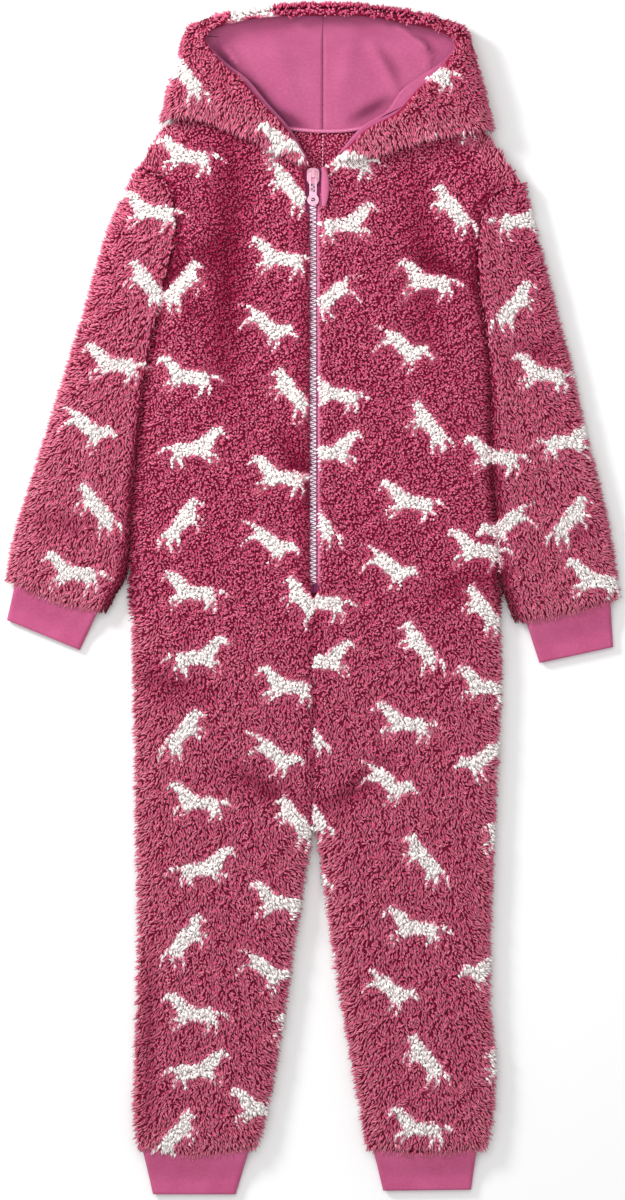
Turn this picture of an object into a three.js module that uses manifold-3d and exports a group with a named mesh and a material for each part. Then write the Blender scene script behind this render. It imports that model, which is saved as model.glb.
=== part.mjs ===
// A child's hooded one-piece pyjama of long-pile fleece, laid flat on its back.
// Millimetres, +Z up. The garment lies on the plane z = 0 with the hood towards +Y and
// its front towards +Z, so the wearer's right side is at -X and the left side at +X.
// Every cloth piece is a closed wall: fleece walls reach to the tips of the pile.
import * as THREE from 'three';
import { mergeVertices } from 'three/addons/utils/BufferGeometryUtils.js';
import Module from 'manifold-3d';

// Walls and levels
const pile = 8;                 // thickness of one layer of fleece, ground cloth and pile
const layerGap = 0.6;           // air between the back layer and the front layer
const frontUnder = pile + layerGap;
const frontTop = 17;            // top of the front layer away from seams and folds
const edgeWall = 1.2;           // thickness left at a rolled edge
const rollRadius = 9;           // how far in from an edge the roll starts
const seamGap = 0.3;
const seamDepth = 2.5;          // a seam pulls the pile down by this much
const seamWidth = 7;
const jersey = 1.5;             // hood lining
const cuffWall = 2.4;
const cuffGap = 1.4;            // between the two layers of a flattened cuff
const sleeveCentre = pile + layerGap / 2;
const sleeveGap = 0.35;         // half the slit inside a flattened sleeve

// Zip
const chainHalf = 2.9;
const chainBottom = 10.1;
const chainTop = 12.9;
const tapeInner = 3.2;
const tapeOuter = 14;
const tapeBottom = 11;
const tapeTop = 12;
const zipEdge = 3.6;            // fleece edge beside the chain
const sliderBump = 3.2;         // the edges stand this much further apart at the slider
const zipEnd = 12;
const tapeEnd = 6;
const tapeStart = 366;
const zipLift = 3.7;            // the front layer lies over the tape
const zipDip = 1.2;             // the pile is stitched flat beside the zip
const sliderTop = 366;
const sliderBottom = 352.5;
const hingeY = 361.2;
const hingeZ = 15.7;
const tabThickness = 1.2;
const tabRingY = 338.8;
const tabRingRadius = 4.9;
const tabHoleRadius = 1.9;

// Heights of the main lines
const underarm = { right: 260.1, left: 256.7 };
const crotch = -183;
const legRollLength = 18;       // the inseam becomes a rolled edge this far below the crotch
const backNeck = 396;
const centreBack = 8.5;         // the centre back seam lies off the middle at the neck

// The body, a row for each level: side seams and inseams
const bodyLevels = [
  { y: 260.1, sideRight: -128.3, sideLeft: 140.9, inseamRight: 0, inseamLeft: 0 },
  { y: 226, sideRight: -134.3, sideLeft: 146, inseamRight: 0, inseamLeft: 0 },
  { y: 186, sideRight: -141.9, sideLeft: 149.2, inseamRight: 0, inseamLeft: 0 },
  { y: 121, sideRight: -147.9, sideLeft: 150.1, inseamRight: 0, inseamLeft: 0 },
  { y: 65, sideRight: -152.5, sideLeft: 153.7, inseamRight: 0, inseamLeft: 0 },
  { y: 0, sideRight: -154.7, sideLeft: 158.1, inseamRight: 0, inseamLeft: 0 },
  { y: -51, sideRight: -153.6, sideLeft: 160.7, inseamRight: 0, inseamLeft: 0 },
  { y: -119, sideRight: -152.2, sideLeft: 158.1, inseamRight: 0, inseamLeft: 0 },
  { y: -183, sideRight: -151.3, sideLeft: 155.2, inseamRight: -0.2, inseamLeft: 0.2 },
  { y: -204, sideRight: -151, sideLeft: 154.6, inseamRight: -1.6, inseamLeft: 3.6 },
  { y: -238, sideRight: -149.6, sideLeft: 153, inseamRight: -6.8, inseamLeft: 8.5 },
  { y: -289, sideRight: -149.2, sideLeft: 151, inseamRight: -15.3, inseamLeft: 15.3 },
  { y: -340, sideRight: -150.4, sideLeft: 150.6, inseamRight: -22.1, inseamLeft: 22.9 },
  { y: -391, sideRight: -152, sideLeft: 155.2, inseamRight: -30.6, inseamLeft: 32.3 },
  { y: -442, sideRight: -152.2, sideLeft: 152.2, inseamRight: -40.8, inseamLeft: 40.8 },
  { y: -466, sideRight: -149.6, sideLeft: 147.9, inseamRight: -48.4, inseamLeft: 45 },
];

// Each side of the garment, as points on its seams and folds
const sides = {
  right: {
    sign: -1,
    neckX: -85,
    armhole: [[-146.2, 368.9], [-128.3, 359.6], [-118.6, 340], [-115.6, 322], [-120, 294], [-128.3, 260.1]],
    shoulderFront: [[-146.2, 368.9], [-136.8, 388.4], [-125.8, 402.6], [-106.2, 413.4], [-85, 418],
      [-66, 411.4], [-45, 399.5], [-24, 386], [-11, 376.6], [-3.6, 368]],
    shoulderBack: [[-146.2, 368.9], [-136.8, 388.4], [-125.8, 402.6], [-106.2, 413.4], [-85, 418],
      [-62, 406.3], [-36.5, 399.5], [-11, 396.8], [8.35, backNeck]],
    hem: -463.5,
    sleeveLevels: [
      { outerX: -146.2, outerY: 368.9, innerY: 260.1, away: 0 },
      { outerX: -169.2, outerY: 323, innerY: 226, away: 0 },
      { outerX: -190.4, outerY: 255, innerY: 181, away: 0 },
      { outerX: -211.7, outerY: 187, innerY: 136, away: 0 },
      { outerX: -228, outerY: 136, innerY: 98, away: 0 },
      { outerX: -244, outerY: 85, innerY: 58, away: 0.4 },
      { outerX: -254.6, outerY: 50, innerY: 24, away: 3 },
      { outerX: -260.1, outerY: 18, innerY: -9, away: 20 },
    ],
    sleeveHemBow: 4,
    armCuff: { from: 0.09, to: 0.93, endOuter: [-260, -17], endInner: [-198, -42.5] },
    legCuff: { from: 0.05, to: 0.94, endOuter: [-136, -504.5], endInner: [-65.5, -504.5] },
    legHemBow: 6,
  },
  left: {
    sign: 1,
    neckX: 99.5,
    armhole: [[176.8, 356.1], [161.5, 350.2], [148.8, 337.4], [141.9, 318.8], [139.2, 290], [141.1, 256.7]],
    shoulderFront: [[176.8, 356.1], [165.8, 371.4], [153.8, 388.4], [141.9, 402.6], [123.2, 413.4], [99.5, 416.5],
      [74, 404.6], [56.9, 394.4], [39.9, 385.9], [17, 374], [3.6, 368]],
    shoulderBack: [[176.8, 356.1], [165.8, 371.4], [153.8, 388.4], [141.9, 402.6], [123.2, 413.4], [99.5, 416.5],
      [82.5, 408], [61.2, 401.2], [31.4, 396.4], [8.65, backNeck]],
    hem: -463.5,
    sleeveLevels: [
      { outerX: 176.8, outerY: 356.1, innerY: 256.7, away: 0 },
      { outerX: 185.3, outerY: 323, innerY: 224, away: 0 },
      { outerX: 203.2, outerY: 255, innerY: 178, away: 0 },
      { outerX: 221, outerY: 187, innerY: 132, away: 0 },
      { outerX: 232.5, outerY: 136, innerY: 94, away: 0 },
      { outerX: 245.7, outerY: 85, innerY: 52, away: 0.6 },
      { outerX: 252.8, outerY: 50, innerY: 18, away: 1.5 },
      { outerX: 260.1, outerY: 3.6, innerY: -17, away: 11 },
    ],
    sleeveHemBow: 4,
    armCuff: { from: 0.09, to: 0.9, endOuter: [255, -39.9], endInner: [192.4, -53.5] },
    legCuff: { from: 0.09, to: 0.94, endOuter: [134.3, -500.6], endInner: [59.5, -501.5] },
    legHemBow: 5,
  },
};

// The hood, a row for each section from its top round to the neck: the outline where the
// cloth folds over, the rim of the face opening, the foot of the section on the centre
// seam, the top of the roll, and how far the lining shows past the fleece
const hoodLevels = {
  right: [
    { foldX: 8.35, foldY: 504.5, rimX: 8.35, rimY: 494.7, seamY: 492, top: 21, show: 0 },
    { foldX: -31.4, foldY: 502.3, rimX: -26, rimY: 494.3, seamY: 484, top: 21, show: 0 },
    { foldX: -78.2, foldY: 496.4, rimX: -62, rimY: 490.6, seamY: 476, top: 22, show: 0 },
    { foldX: -104.5, foldY: 486.2, rimX: -82, rimY: 484, seamY: 468, top: 23, show: 0 },
    { foldX: -110.6, foldY: 475, rimX: -91, rimY: 475.5, seamY: 459, top: 24, show: 1 },
    { foldX: -113.6, foldY: 463, rimX: -86, rimY: 465, seamY: 450, top: 25, show: 2 },
    { foldX: -116.9, foldY: 450.5, rimX: -75, rimY: 452, seamY: 440, top: 26, show: 4 },
    { foldX: -120.7, foldY: 439, rimX: -60, rimY: 439.5, seamY: 430, top: 26, show: 5 },
    { foldX: -124.1, foldY: 427, rimX: -43, rimY: 420, seamY: 419, top: 26, show: 4 },
    { foldX: -126.6, foldY: 416, rimX: -22, rimY: 398, seamY: 408, top: 26, show: 2 },
    { foldX: -128.3, foldY: 405.5, rimX: -3.6, rimY: 370, seamY: 396.8, top: 26, show: 0 },
  ],
  left: [
    { foldX: 8.65, foldY: 504.5, rimX: 8.65, rimY: 494.7, seamY: 492, top: 21, show: 0 },
    { foldX: 50, foldY: 502.3, rimX: 44, rimY: 494.3, seamY: 484, top: 21, show: 0 },
    { foldX: 92.6, foldY: 496.6, rimX: 82, rimY: 487.5, seamY: 476, top: 22, show: 0 },
    { foldX: 124.6, foldY: 487, rimX: 108, rimY: 481, seamY: 468, top: 23, show: 1 },
    { foldX: 133.4, foldY: 474.3, rimX: 120.5, rimY: 470, seamY: 459, top: 24, show: 2 },
    { foldX: 137.4, foldY: 460, rimX: 113, rimY: 456, seamY: 450, top: 25, show: 5 },
    { foldX: 141.4, foldY: 445, rimX: 99, rimY: 442, seamY: 440, top: 26, show: 10 },
    { foldX: 145, foldY: 431, rimX: 86, rimY: 429, seamY: 430, top: 26, show: 12 },
    { foldX: 148.4, foldY: 418, rimX: 70, rimY: 411.5, seamY: 419, top: 26, show: 8 },
    { foldX: 150.6, foldY: 407, rimX: 44, rimY: 397, seamY: 408, top: 26, show: 3 },
    { foldX: 151.6, foldY: 399, rimX: 20.4, rimY: 373, seamY: 396.8, top: 26, show: 0 },
  ],
};

// The last section of the hood follows three lines: the neck seam under it, the lower
// edge of the flap that lies on the shoulder, and the lining's edge inside the neckline
const hoodFeet = {
  right: {
    seam: [[8.35, 396.8], [-11, 397.8], [-36.5, 400.8], [-62, 407.8], [-85, 419.4], [-106.2, 415], [-118, 410.4],
      [-128.3, 405.5]],
    liningSeam: [[8.35, 396.8], [-11, 397.8], [-36.5, 401.2], [-55, 408.2], [-66, 413.6], [-85, 420.4],
      [-106.2, 416], [-118, 411], [-128.3, 405.5]],
    flap: [[-3.6, 370], [-19.6, 375.5], [-36.5, 383.3], [-52.7, 392.7], [-77.3, 402], [-93.5, 408],
      [-109.6, 410.5], [-128.3, 405.5]],
    lining: [[-3.6, 372], [-11, 379], [-24, 389], [-45, 402.5], [-66, 414], [-85, 420.5], [-106.2, 416.5],
      [-128.3, 405.5]],
  },
  left: {
    seam: [[8.65, 396.8], [31.4, 397.5], [61.2, 402.6], [82.5, 409.4], [99.5, 418], [123.2, 415.2], [141.9, 405],
      [151.6, 399]],
    liningSeam: [[8.65, 396.8], [31.4, 397.5], [61.2, 403], [74, 408], [82.5, 411.5], [99.5, 419], [123.2, 416.2],
      [141.9, 406], [151.6, 399]],
    flap: [[20.4, 373], [31.4, 375.7], [50.1, 377.4], [68, 383.3], [92.6, 390.1], [102, 393], [132.6, 397.4],
      [151.6, 399]],
    lining: [[20.4, 377], [39.9, 388.5], [56.9, 397.5], [74, 407.5], [99.5, 419], [123.2, 416.5], [151.6, 399]],
  },
};

// Soft troughs in the front layer: from one end to the other, with depth and width
const folds = [
  { x0: -68, y0: 392, x1: -76, y1: 178, depth: 2.6, width: 15 },
  { x0: -24, y0: 138, x1: -3, y1: 82, depth: 3, width: 8 },
  { x0: -122, y0: 272, x1: -82, y1: 300, depth: 2.6, width: 9 },
  { x0: -126, y0: 262, x1: -96, y1: 238, depth: 2, width: 9 },
  { x0: 136, y0: 268, x1: 96, y1: 292, depth: 2.6, width: 9 },
  { x0: 88, y0: 352, x1: 96, y1: 214, depth: 1.8, width: 14 },
  { x0: 12, y0: -176, x1: 62, y1: -138, depth: 2.4, width: 10 },
  { x0: -12, y0: -176, x1: -66, y1: -144, depth: 2.4, width: 10 },
  { x0: -137, y0: -292, x1: -139, y1: -450, depth: 2, width: 6 },
  { x0: -150, y0: -60, x1: -96, y1: -78, depth: 1.8, width: 12 },
  { x0: 152, y0: 20, x1: 104, y1: 4, depth: 1.8, width: 12 },
  { x0: -196, y0: 214, x1: -160, y1: 196, depth: 2.2, width: 9 },
  { x0: 206, y0: 214, x1: 168, y1: 206, depth: 2.2, width: 9 },
  { x0: -236, y0: 70, x1: -188, y1: 62, depth: 1.6, width: 9 },
  { x0: 240, y0: 62, x1: 196, y1: 46, depth: 1.6, width: 9 },
];

const clamp01 = (value) => Math.min(1, Math.max(0, value));
const smooth = (value) => { const t = clamp01(value); return t * t * (3 - 2 * t); };
const mix = (a, b, t) => a + (b - a) * t;
const mix2 = (a, b, t) => [mix(a[0], b[0], t), mix(a[1], b[1], t)];

// Evenly spaced fractions drawn towards both ends, so that rolled edges get more rows
function graded(count, pull) {
  return Array.from({ length: count + 1 }, (_, i) => {
    const t = i / count;
    return t - pull * Math.sin(2 * Math.PI * t) / (2 * Math.PI);
  });
}

// A smooth height over a table of rows, by one column, with the slope averaged at each row
function follow(rows, key, value, at) {
  const rising = rows[rows.length - 1][key] > rows[0][key];
  const list = rising ? rows : [...rows].reverse();
  const last = list.length - 1;
  let i = 0;
  while (i < last - 1 && at > list[i + 1][key]) i += 1;
  const slope = (a, b) => (list[b][value] - list[a][value]) / (list[b][key] - list[a][key]);
  const tangent = (k) => slope(Math.max(0, k - 1), Math.min(last, k + 1));
  const span = list[i + 1][key] - list[i][key];
  const t = clamp01((at - list[i][key]) / span);
  const a = list[i][value];
  const b = list[i + 1][value];
  const m = tangent(i) * span;
  const n = tangent(i + 1) * span;
  const tt = t * t;
  const ttt = tt * t;
  return (2 * ttt - 3 * tt + 1) * a + (ttt - 2 * tt + t) * m + (3 * tt - 2 * ttt) * b + (ttt - tt) * n;
}
const heightOn = (line, x) => follow(line, 0, 1, x);

function curveThrough(points) {
  return new THREE.CatmullRomCurve3(points.map(([x, y]) => new THREE.Vector3(x, y, 0)), false, 'centripetal');
}

function relief(x, y) {
  return folds.reduce((sum, fold) => {
    const dx = fold.x1 - fold.x0;
    const dy = fold.y1 - fold.y0;
    const t = clamp01(((x - fold.x0) * dx + (y - fold.y0) * dy) / (dx * dx + dy * dy));
    const distance = Math.hypot(x - fold.x0 - t * dx, y - fold.y0 - t * dy);
    return sum - fold.depth * Math.exp(-((distance / fold.width) ** 2)) * Math.sin(Math.PI * mix(0.15, 0.85, t));
  }, 0);
}

const sideColumn = (side) => (side === 'right' ? 'sideRight' : 'sideLeft');

// How much of a layer's height is lost at a distance from a rolled edge, from 1 to 0
function rollLoss(distance, radius = rollRadius) {
  const t = clamp01(distance / radius);
  return 1 - Math.sqrt(1 - (1 - t) ** 2);
}
const seamLoss = (distance) => 1 - smooth(distance / seamWidth);

// A closed body from corner positions and faces, turned so that its faces point out
function solid(points, faces) {
  const volume = faces.reduce((sum, [a, b, c]) => {
    const cross = new THREE.Vector3().crossVectors(points[b], points[c]);
    return sum + points[a].dot(cross);
  }, 0);
  const index = faces.flatMap(([a, b, c]) => (volume > 0 ? [a, b, c] : [a, c, b]));
  const geometry = new THREE.BufferGeometry();
  geometry.setAttribute('position', new THREE.Float32BufferAttribute(points.flatMap((p) => [p.x, p.y, p.z]), 3));
  geometry.setIndex(index);
  geometry.computeVertexNormals();
  return geometry;
}

const quad = (a, b, c, d) => [[a, b, c], [a, c, d]];

// A wall between an upper and a lower grid of points
function wall(upper, lower) {
  const rows = upper.length;
  const columns = upper[0].length;
  const points = [...upper.flat(), ...lower.flat()];
  const top = (i, j) => i * columns + j;
  const bottom = (i, j) => rows * columns + i * columns + j;
  const faces = [];
  for (let i = 0; i < rows - 1; i += 1) {
    for (let j = 0; j < columns - 1; j += 1) {
      faces.push(...quad(top(i, j), top(i, j + 1), top(i + 1, j + 1), top(i + 1, j)));
      faces.push(...quad(bottom(i, j), bottom(i + 1, j), bottom(i + 1, j + 1), bottom(i, j + 1)));
    }
  }
  const rim = [];
  for (let j = 0; j < columns - 1; j += 1) rim.push([0, j]);
  for (let i = 0; i < rows - 1; i += 1) rim.push([i, columns - 1]);
  for (let j = columns - 1; j > 0; j -= 1) rim.push([rows - 1, j]);
  for (let i = rows - 1; i > 0; i -= 1) rim.push([i, 0]);
  rim.forEach(([i, j], k) => {
    const [m, n] = rim[(k + 1) % rim.length];
    faces.push(...quad(top(m, n), top(i, j), bottom(i, j), bottom(m, n)));
  });
  return solid(points, faces);
}

// A tube wall between outer and inner rings, open at both ends
function tube(outer, inner) {
  const rows = outer.length;
  const around = outer[0].length;
  const points = [...outer.flat(), ...inner.flat()];
  const out = (i, j) => i * around + (j % around);
  const inn = (i, j) => rows * around + i * around + (j % around);
  const faces = [];
  for (let j = 0; j < around; j += 1) {
    for (let i = 0; i < rows - 1; i += 1) {
      faces.push(...quad(out(i, j), out(i, j + 1), out(i + 1, j + 1), out(i + 1, j)));
      faces.push(...quad(inn(i, j), inn(i + 1, j), inn(i + 1, j + 1), inn(i, j + 1)));
    }
    faces.push(...quad(out(0, j + 1), out(0, j), inn(0, j), inn(0, j + 1)));
    faces.push(...quad(out(rows - 1, j), out(rows - 1, j + 1), inn(rows - 1, j + 1), inn(rows - 1, j)));
  }
  return solid(points, faces);
}

// Half the points round a flattened tube, from the outer fold to the inner fold
const halfRing = 8;
const ringFractions = Array.from({ length: halfRing + 1 }, (_, k) => (1 - Math.cos(Math.PI * k / halfRing)) / 2);

// Moves the nearest value of a rising or falling list onto a corner that it must hold
function holding(list, value) {
  const away = list.map((v, k) => (k === 0 || k === list.length - 1 ? Infinity : Math.abs(v - value)));
  return list.map((v, k) => (k === away.indexOf(Math.min(...away)) ? value : v));
}

// The levels of a panel's rows: the armhole at the sleeve's own points, then down to the hem
function panelRows(side, perStretch) {
  const { armhole, hem } = sides[side];
  const curve = curveThrough(armhole);
  const arm = ringFractions.map((t) => { const p = curve.getPointAt(t); return { x: p.x, y: p.y, arm: 1 }; });
  const stops = [underarm[side], zipEnd, tapeEnd - 5, tapeEnd - 22, crotch + 6, crotch - legRollLength, hem];
  const below = [];
  for (let i = 0; i < stops.length - 1; i += 1) {
    const count = perStretch[i];
    const steps = i === stops.length - 2
      ? graded(count, 0.8).filter((t, k) => k > 0)
      : Array.from({ length: count }, (_, k) => (k + 1) / count);
    steps.forEach((t) => {
      const y = mix(stops[i], stops[i + 1], t);
      below.push({ x: follow(bodyLevels, 'y', sideColumn(side), y), y, arm: 0 });
    });
  }
  return [...arm, ...below];
}

// Where the side of the neck lies across a panel, as a fraction from its outer border
function neckCorner(side, topLine) {
  const startX = topLine[0][0];
  return (sides[side].neckX - startX) / (topLine[topLine.length - 1][0] - startX);
}

function inseamAt(side, y) {
  return follow(bodyLevels, 'y', side === 'right' ? 'inseamRight' : 'inseamLeft', y);
}

// The inner edge of a front: beside the zip, then the centre seam, then the inseam
function frontEdge(side, y) {
  const { sign } = sides[side];
  if (y < crotch) return inseamAt(side, y);
  const nearSlider = smooth((y - 322) / 10);
  const beside = zipEdge + sliderBump * nearSlider * (1 - smooth((y - 367) / 3));
  return sign * mix(seamGap / 2, beside, smooth((y - 1) / 10));
}

function backEdge(side, y) {
  const { sign } = sides[side];
  if (y < crotch) return inseamAt(side, y);
  return mix(0, centreBack, smooth((y - crotch) / (backNeck - crotch))) + sign * seamGap / 2;
}

const zipZone = (y) => smooth((y + 16) / 18);

// Plan of a panel: straight rows, bowed up to the shoulder and neck and down to the hem
function panelGrid(side, rows, columns, edgeAt, topLine) {
  const { hem, legHemBow } = sides[side];
  const cornerX = topLine[0][0];
  const edgeX = topLine[topLine.length - 1][0];
  const startY = topLine[0][1];
  return rows.map((row, i) => columns.map((u) => {
    const x = mix(row.x, edgeAt(side, i === 0 ? 400 : row.y), u);
    const topX = mix(cornerX, edgeX, u);
    const bow = (heightOn(topLine, topX) - startY) * smooth((row.y - 120) / (startY - 120)) ** 1.5;
    const hemBow = -legHemBow * Math.sin(Math.PI * u) * smooth(1 - (row.y - hem) / 60);
    const xTop = i === 0 ? topX : x;
    return { x: xTop, y: row.y + (i === 0 ? heightOn(topLine, topX) - row.y : bow) + hemBow };
  }));
}

function distances(grid, i, j) {
  const here = grid[i][j];
  const gap = (there) => Math.hypot(here.x - there.x, here.y - there.y);
  return {
    outer: gap(grid[i][0]),
    inner: gap(grid[i][grid[i].length - 1]),
    top: gap(grid[0][j]),
    hem: gap(grid[grid.length - 1][j]),
  };
}

// What is lost at each border of a panel, as a share of a layer's roll and of a seam's depth
function borders(side, grid, rows, i, j) {
  const d = distances(grid, i, j);
  const sideRoll = 1 - rows[i].arm * smooth((rows[i].y - underarm[side] + 2) / 6);
  const legRoll = smooth((crotch - rows[i].y) / legRollLength);
  const shoulderRoll = smooth((Math.abs(grid[0][j].x) - 72) / 14);
  const roll = Math.max(
    sideRoll * rollLoss(d.outer),
    legRoll * rollLoss(d.inner),
    shoulderRoll * rollLoss(d.top),
  );
  const seam = Math.max(
    (1 - sideRoll) * seamLoss(d.outer),
    0.5 * (1 - shoulderRoll) * seamLoss(d.top),
    seamLoss(d.hem),
  );
  return { roll, seam, d, legRoll };
}

function frontTopNearZip(x, edge) {
  return frontTop - zipDip * Math.exp(-Math.max(0, Math.abs(x) - Math.abs(edge)) / 8);
}

function frontPanel(side) {
  const rows = panelRows(side, [9, 1, 1, 6, 2, 11]);
  const topLine = sides[side].shoulderFront;
  const columns = holding(graded(12, 0.8), neckCorner(side, topLine));
  const grid = panelGrid(side, rows, columns, frontEdge, topLine);
  const upper = grid.map((line, i) => line.map(({ x, y }, j) => {
    const { roll, seam, d, legRoll } = borders(side, grid, rows, i, j);
    const centre = (1 - zipZone(y)) * (1 - legRoll) * seamLoss(d.inner);
    const flat = mix(frontTop, frontTopNearZip(x, frontEdge(side, y)), zipZone(y));
    const top = flat + relief(x, y) * (1 - Math.max(roll, seam)) - seamDepth * Math.max(seam, centre);
    const floor = frontUnder + edgeWall;
    return new THREE.Vector3(x, y, mix(top, floor, roll));
  }));
  const lower = grid.map((line) => line.map(({ x, y }) => {
    const lift = zipLift * zipZone(y) * (1 - smooth((Math.abs(x) - 19) / 14));
    return new THREE.Vector3(x, y, frontUnder + lift);
  }));
  return wall(upper, lower);
}

function backPanel(side) {
  const rows = panelRows(side, [4, 1, 1, 3, 2, 7]);
  const topLine = sides[side].shoulderBack;
  const columns = holding(graded(9, 0.8), neckCorner(side, topLine));
  const grid = panelGrid(side, rows, columns, backEdge, topLine);
  const upper = grid.map((line) => line.map(({ x, y }) => new THREE.Vector3(x, y, pile)));
  const lower = grid.map((line, i) => line.map(({ x, y }, j) => {
    const { roll } = borders(side, grid, rows, i, j);
    return new THREE.Vector3(x, y, (pile - edgeWall) * roll);
  }));
  return wall(upper, lower);
}

// A flattened sleeve: its sections run from the outer fold to the inner fold, and the
// first one lies along the armhole
function sleeve(side) {
  const { sign, armhole, sleeveLevels, sleeveHemBow } = sides[side];
  const arm = curveThrough(armhole);
  const outerFold = curveThrough(sleeveLevels.map((row) => [row.outerX, row.outerY]));
  const innerFold = curveThrough(sleeveLevels.map((row) => (
    [follow(bodyLevels, 'y', sideColumn(side), row.innerY) + sign * (1 + row.away), row.innerY])));
  const start = [arm.getPointAt(0), arm.getPointAt(1)];
  const sections = graded(12, 0.85);
  const outer = [];
  const inner = [];
  sections.forEach((v, i) => {
    const a = i === 0 ? start[0] : outerFold.getPoint(v);
    const b = i === 0 ? start[1] : innerFold.getPoint(v);
    const width = Math.hypot(a.x - b.x, a.y - b.y);
    const fade = (1 - smooth(v * 1.6)) ** 1.5;
    const plan = (u) => {
      const armPoint = arm.getPointAt(u);
      const bowX = (armPoint.x - mix(start[0].x, start[1].x, u)) * fade;
      const bowY = (armPoint.y - mix(start[0].y, start[1].y, u)) * fade;
      const hemBow = sleeveHemBow * Math.sin(Math.PI * u) * smooth((v - 0.8) / 0.2);
      const along = arm.getTangentAt(u);
      const apart = sign * 1.6 * seamGap * (1 - smooth(v * 12));
      return [
        mix(a.x, b.x, u) + bowX - along.y * apart,
        mix(a.y, b.y, u) + bowY + along.x * apart - hemBow,
      ];
    };
    // The inner ring keeps to the straight lines between the outer ring's points
    const corners = ringFractions.map(plan);
    const onCorners = (u) => {
      const k = Math.max(0, ringFractions.findLastIndex((f) => f <= Math.min(u, 0.999)));
      return mix2(corners[k], corners[k + 1], (u - ringFractions[k]) / (ringFractions[k + 1] - ringFractions[k]));
    };
    const fromArm = v * outerFold.getLength();
    const fromHem = (1 - v) * outerFold.getLength();
    const seam = seamDepth * Math.max(seamLoss(fromArm), seamLoss(fromHem));
    const ringOut = [];
    const ringIn = [];
    for (let k = 0; k < 2 * halfRing; k += 1) {
      const up = k <= halfRing ? 1 : -1;
      const u = ringFractions[k <= halfRing ? k : 2 * halfRing - k];
      const inset = width * Math.min(u, 1 - u);
      const loss = rollLoss(inset);
      const [x, y] = plan(u);
      const top = frontTop + relief(x, y) * (1 - loss) - seam * (1 - loss) - sleeveCentre;
      const rise = up > 0 ? top : sleeveCentre;
      ringOut.push(new THREE.Vector3(x, y, sleeveCentre + up * rise * (1 - loss)));
      const share = Math.min(0.3, pile / width);
      const [xi, yi] = onCorners(mix(share, 1 - share, u));
      const slit = k % halfRing === 0 ? 0 : up * sleeveGap;
      ringIn.push(new THREE.Vector3(xi, yi, sleeveCentre + slit));
    }
    outer.push(ringOut);
    inner.push(ringIn);
  });
  return tube(outer, inner);
}

// The open end of a sleeve, from its outer fold to its inner fold
function sleeveEnd(side, u) {
  const { sign, sleeveLevels, sleeveHemBow } = sides[side];
  const row = sleeveLevels[sleeveLevels.length - 1];
  const innerX = follow(bodyLevels, 'y', sideColumn(side), row.innerY) + sign * (1 + row.away);
  const [x, y] = mix2([row.outerX, row.outerY], [innerX, row.innerY], u);
  return [x, y - sleeveHemBow * Math.sin(Math.PI * u)];
}

// The end of a leg, from the side seam to the inseam
function legEnd(side, u) {
  const { hem, legHemBow } = sides[side];
  const outer = follow(bodyLevels, 'y', sideColumn(side), hem);
  return [mix(outer, inseamAt(side, hem), u), hem - legHemBow * Math.sin(Math.PI * u)];
}

// A flattened jersey cuff that comes out of a sleeve or leg and drops to the surface
function cuff(side, corners, endAt) {
  const middle = mix2(corners.endOuter, corners.endInner, 0.5);
  const start = endAt(side, 0.5);
  const run = Math.hypot(middle[0] - start[0], middle[1] - start[1]);
  const apart = [(middle[0] - start[0]) * 2 * seamGap / run, (middle[1] - start[1]) * 2 * seamGap / run];
  const topAt = (t) => endAt(side, mix(corners.from, corners.to, t)).map((value, axis) => value + apart[axis]);
  const half = 6;
  const height = 2 * cuffWall + cuffGap;
  const outer = [];
  const inner = [];
  [0, 0.3, 0.65, 0.92, 1].forEach((v) => {
    const at = (t) => mix2(topAt(t), mix2(corners.endOuter, corners.endInner, t), v);
    const [a, b] = [at(0), at(1)];
    const width = Math.hypot(a[0] - b[0], a[1] - b[1]);
    const centre = mix(sleeveCentre, height / 2, smooth(v * 1.4));
    const ringOut = [];
    const ringIn = [];
    for (let k = 0; k < 2 * half; k += 1) {
      const up = k <= half ? 1 : -1;
      const u = (1 - Math.cos(Math.PI * k / half)) / 2;
      const loss = rollLoss(width * Math.min(u, 1 - u), height / 2);
      const tip = v === 1 ? 0.8 : 1;
      const [x, y] = at(u);
      ringOut.push(new THREE.Vector3(x, y, centre + up * (height / 2) * tip * (1 - loss)));
      const share = cuffWall / width;
      const [xi, yi] = at(mix(share, 1 - share, u));
      const slit = k % half === 0 ? 0 : up * cuffGap / 2;
      ringIn.push(new THREE.Vector3(xi, yi, centre + slit));
    }
    outer.push(ringOut);
    inner.push(ringIn);
  });
  return tube(outer, inner);
}

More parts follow.
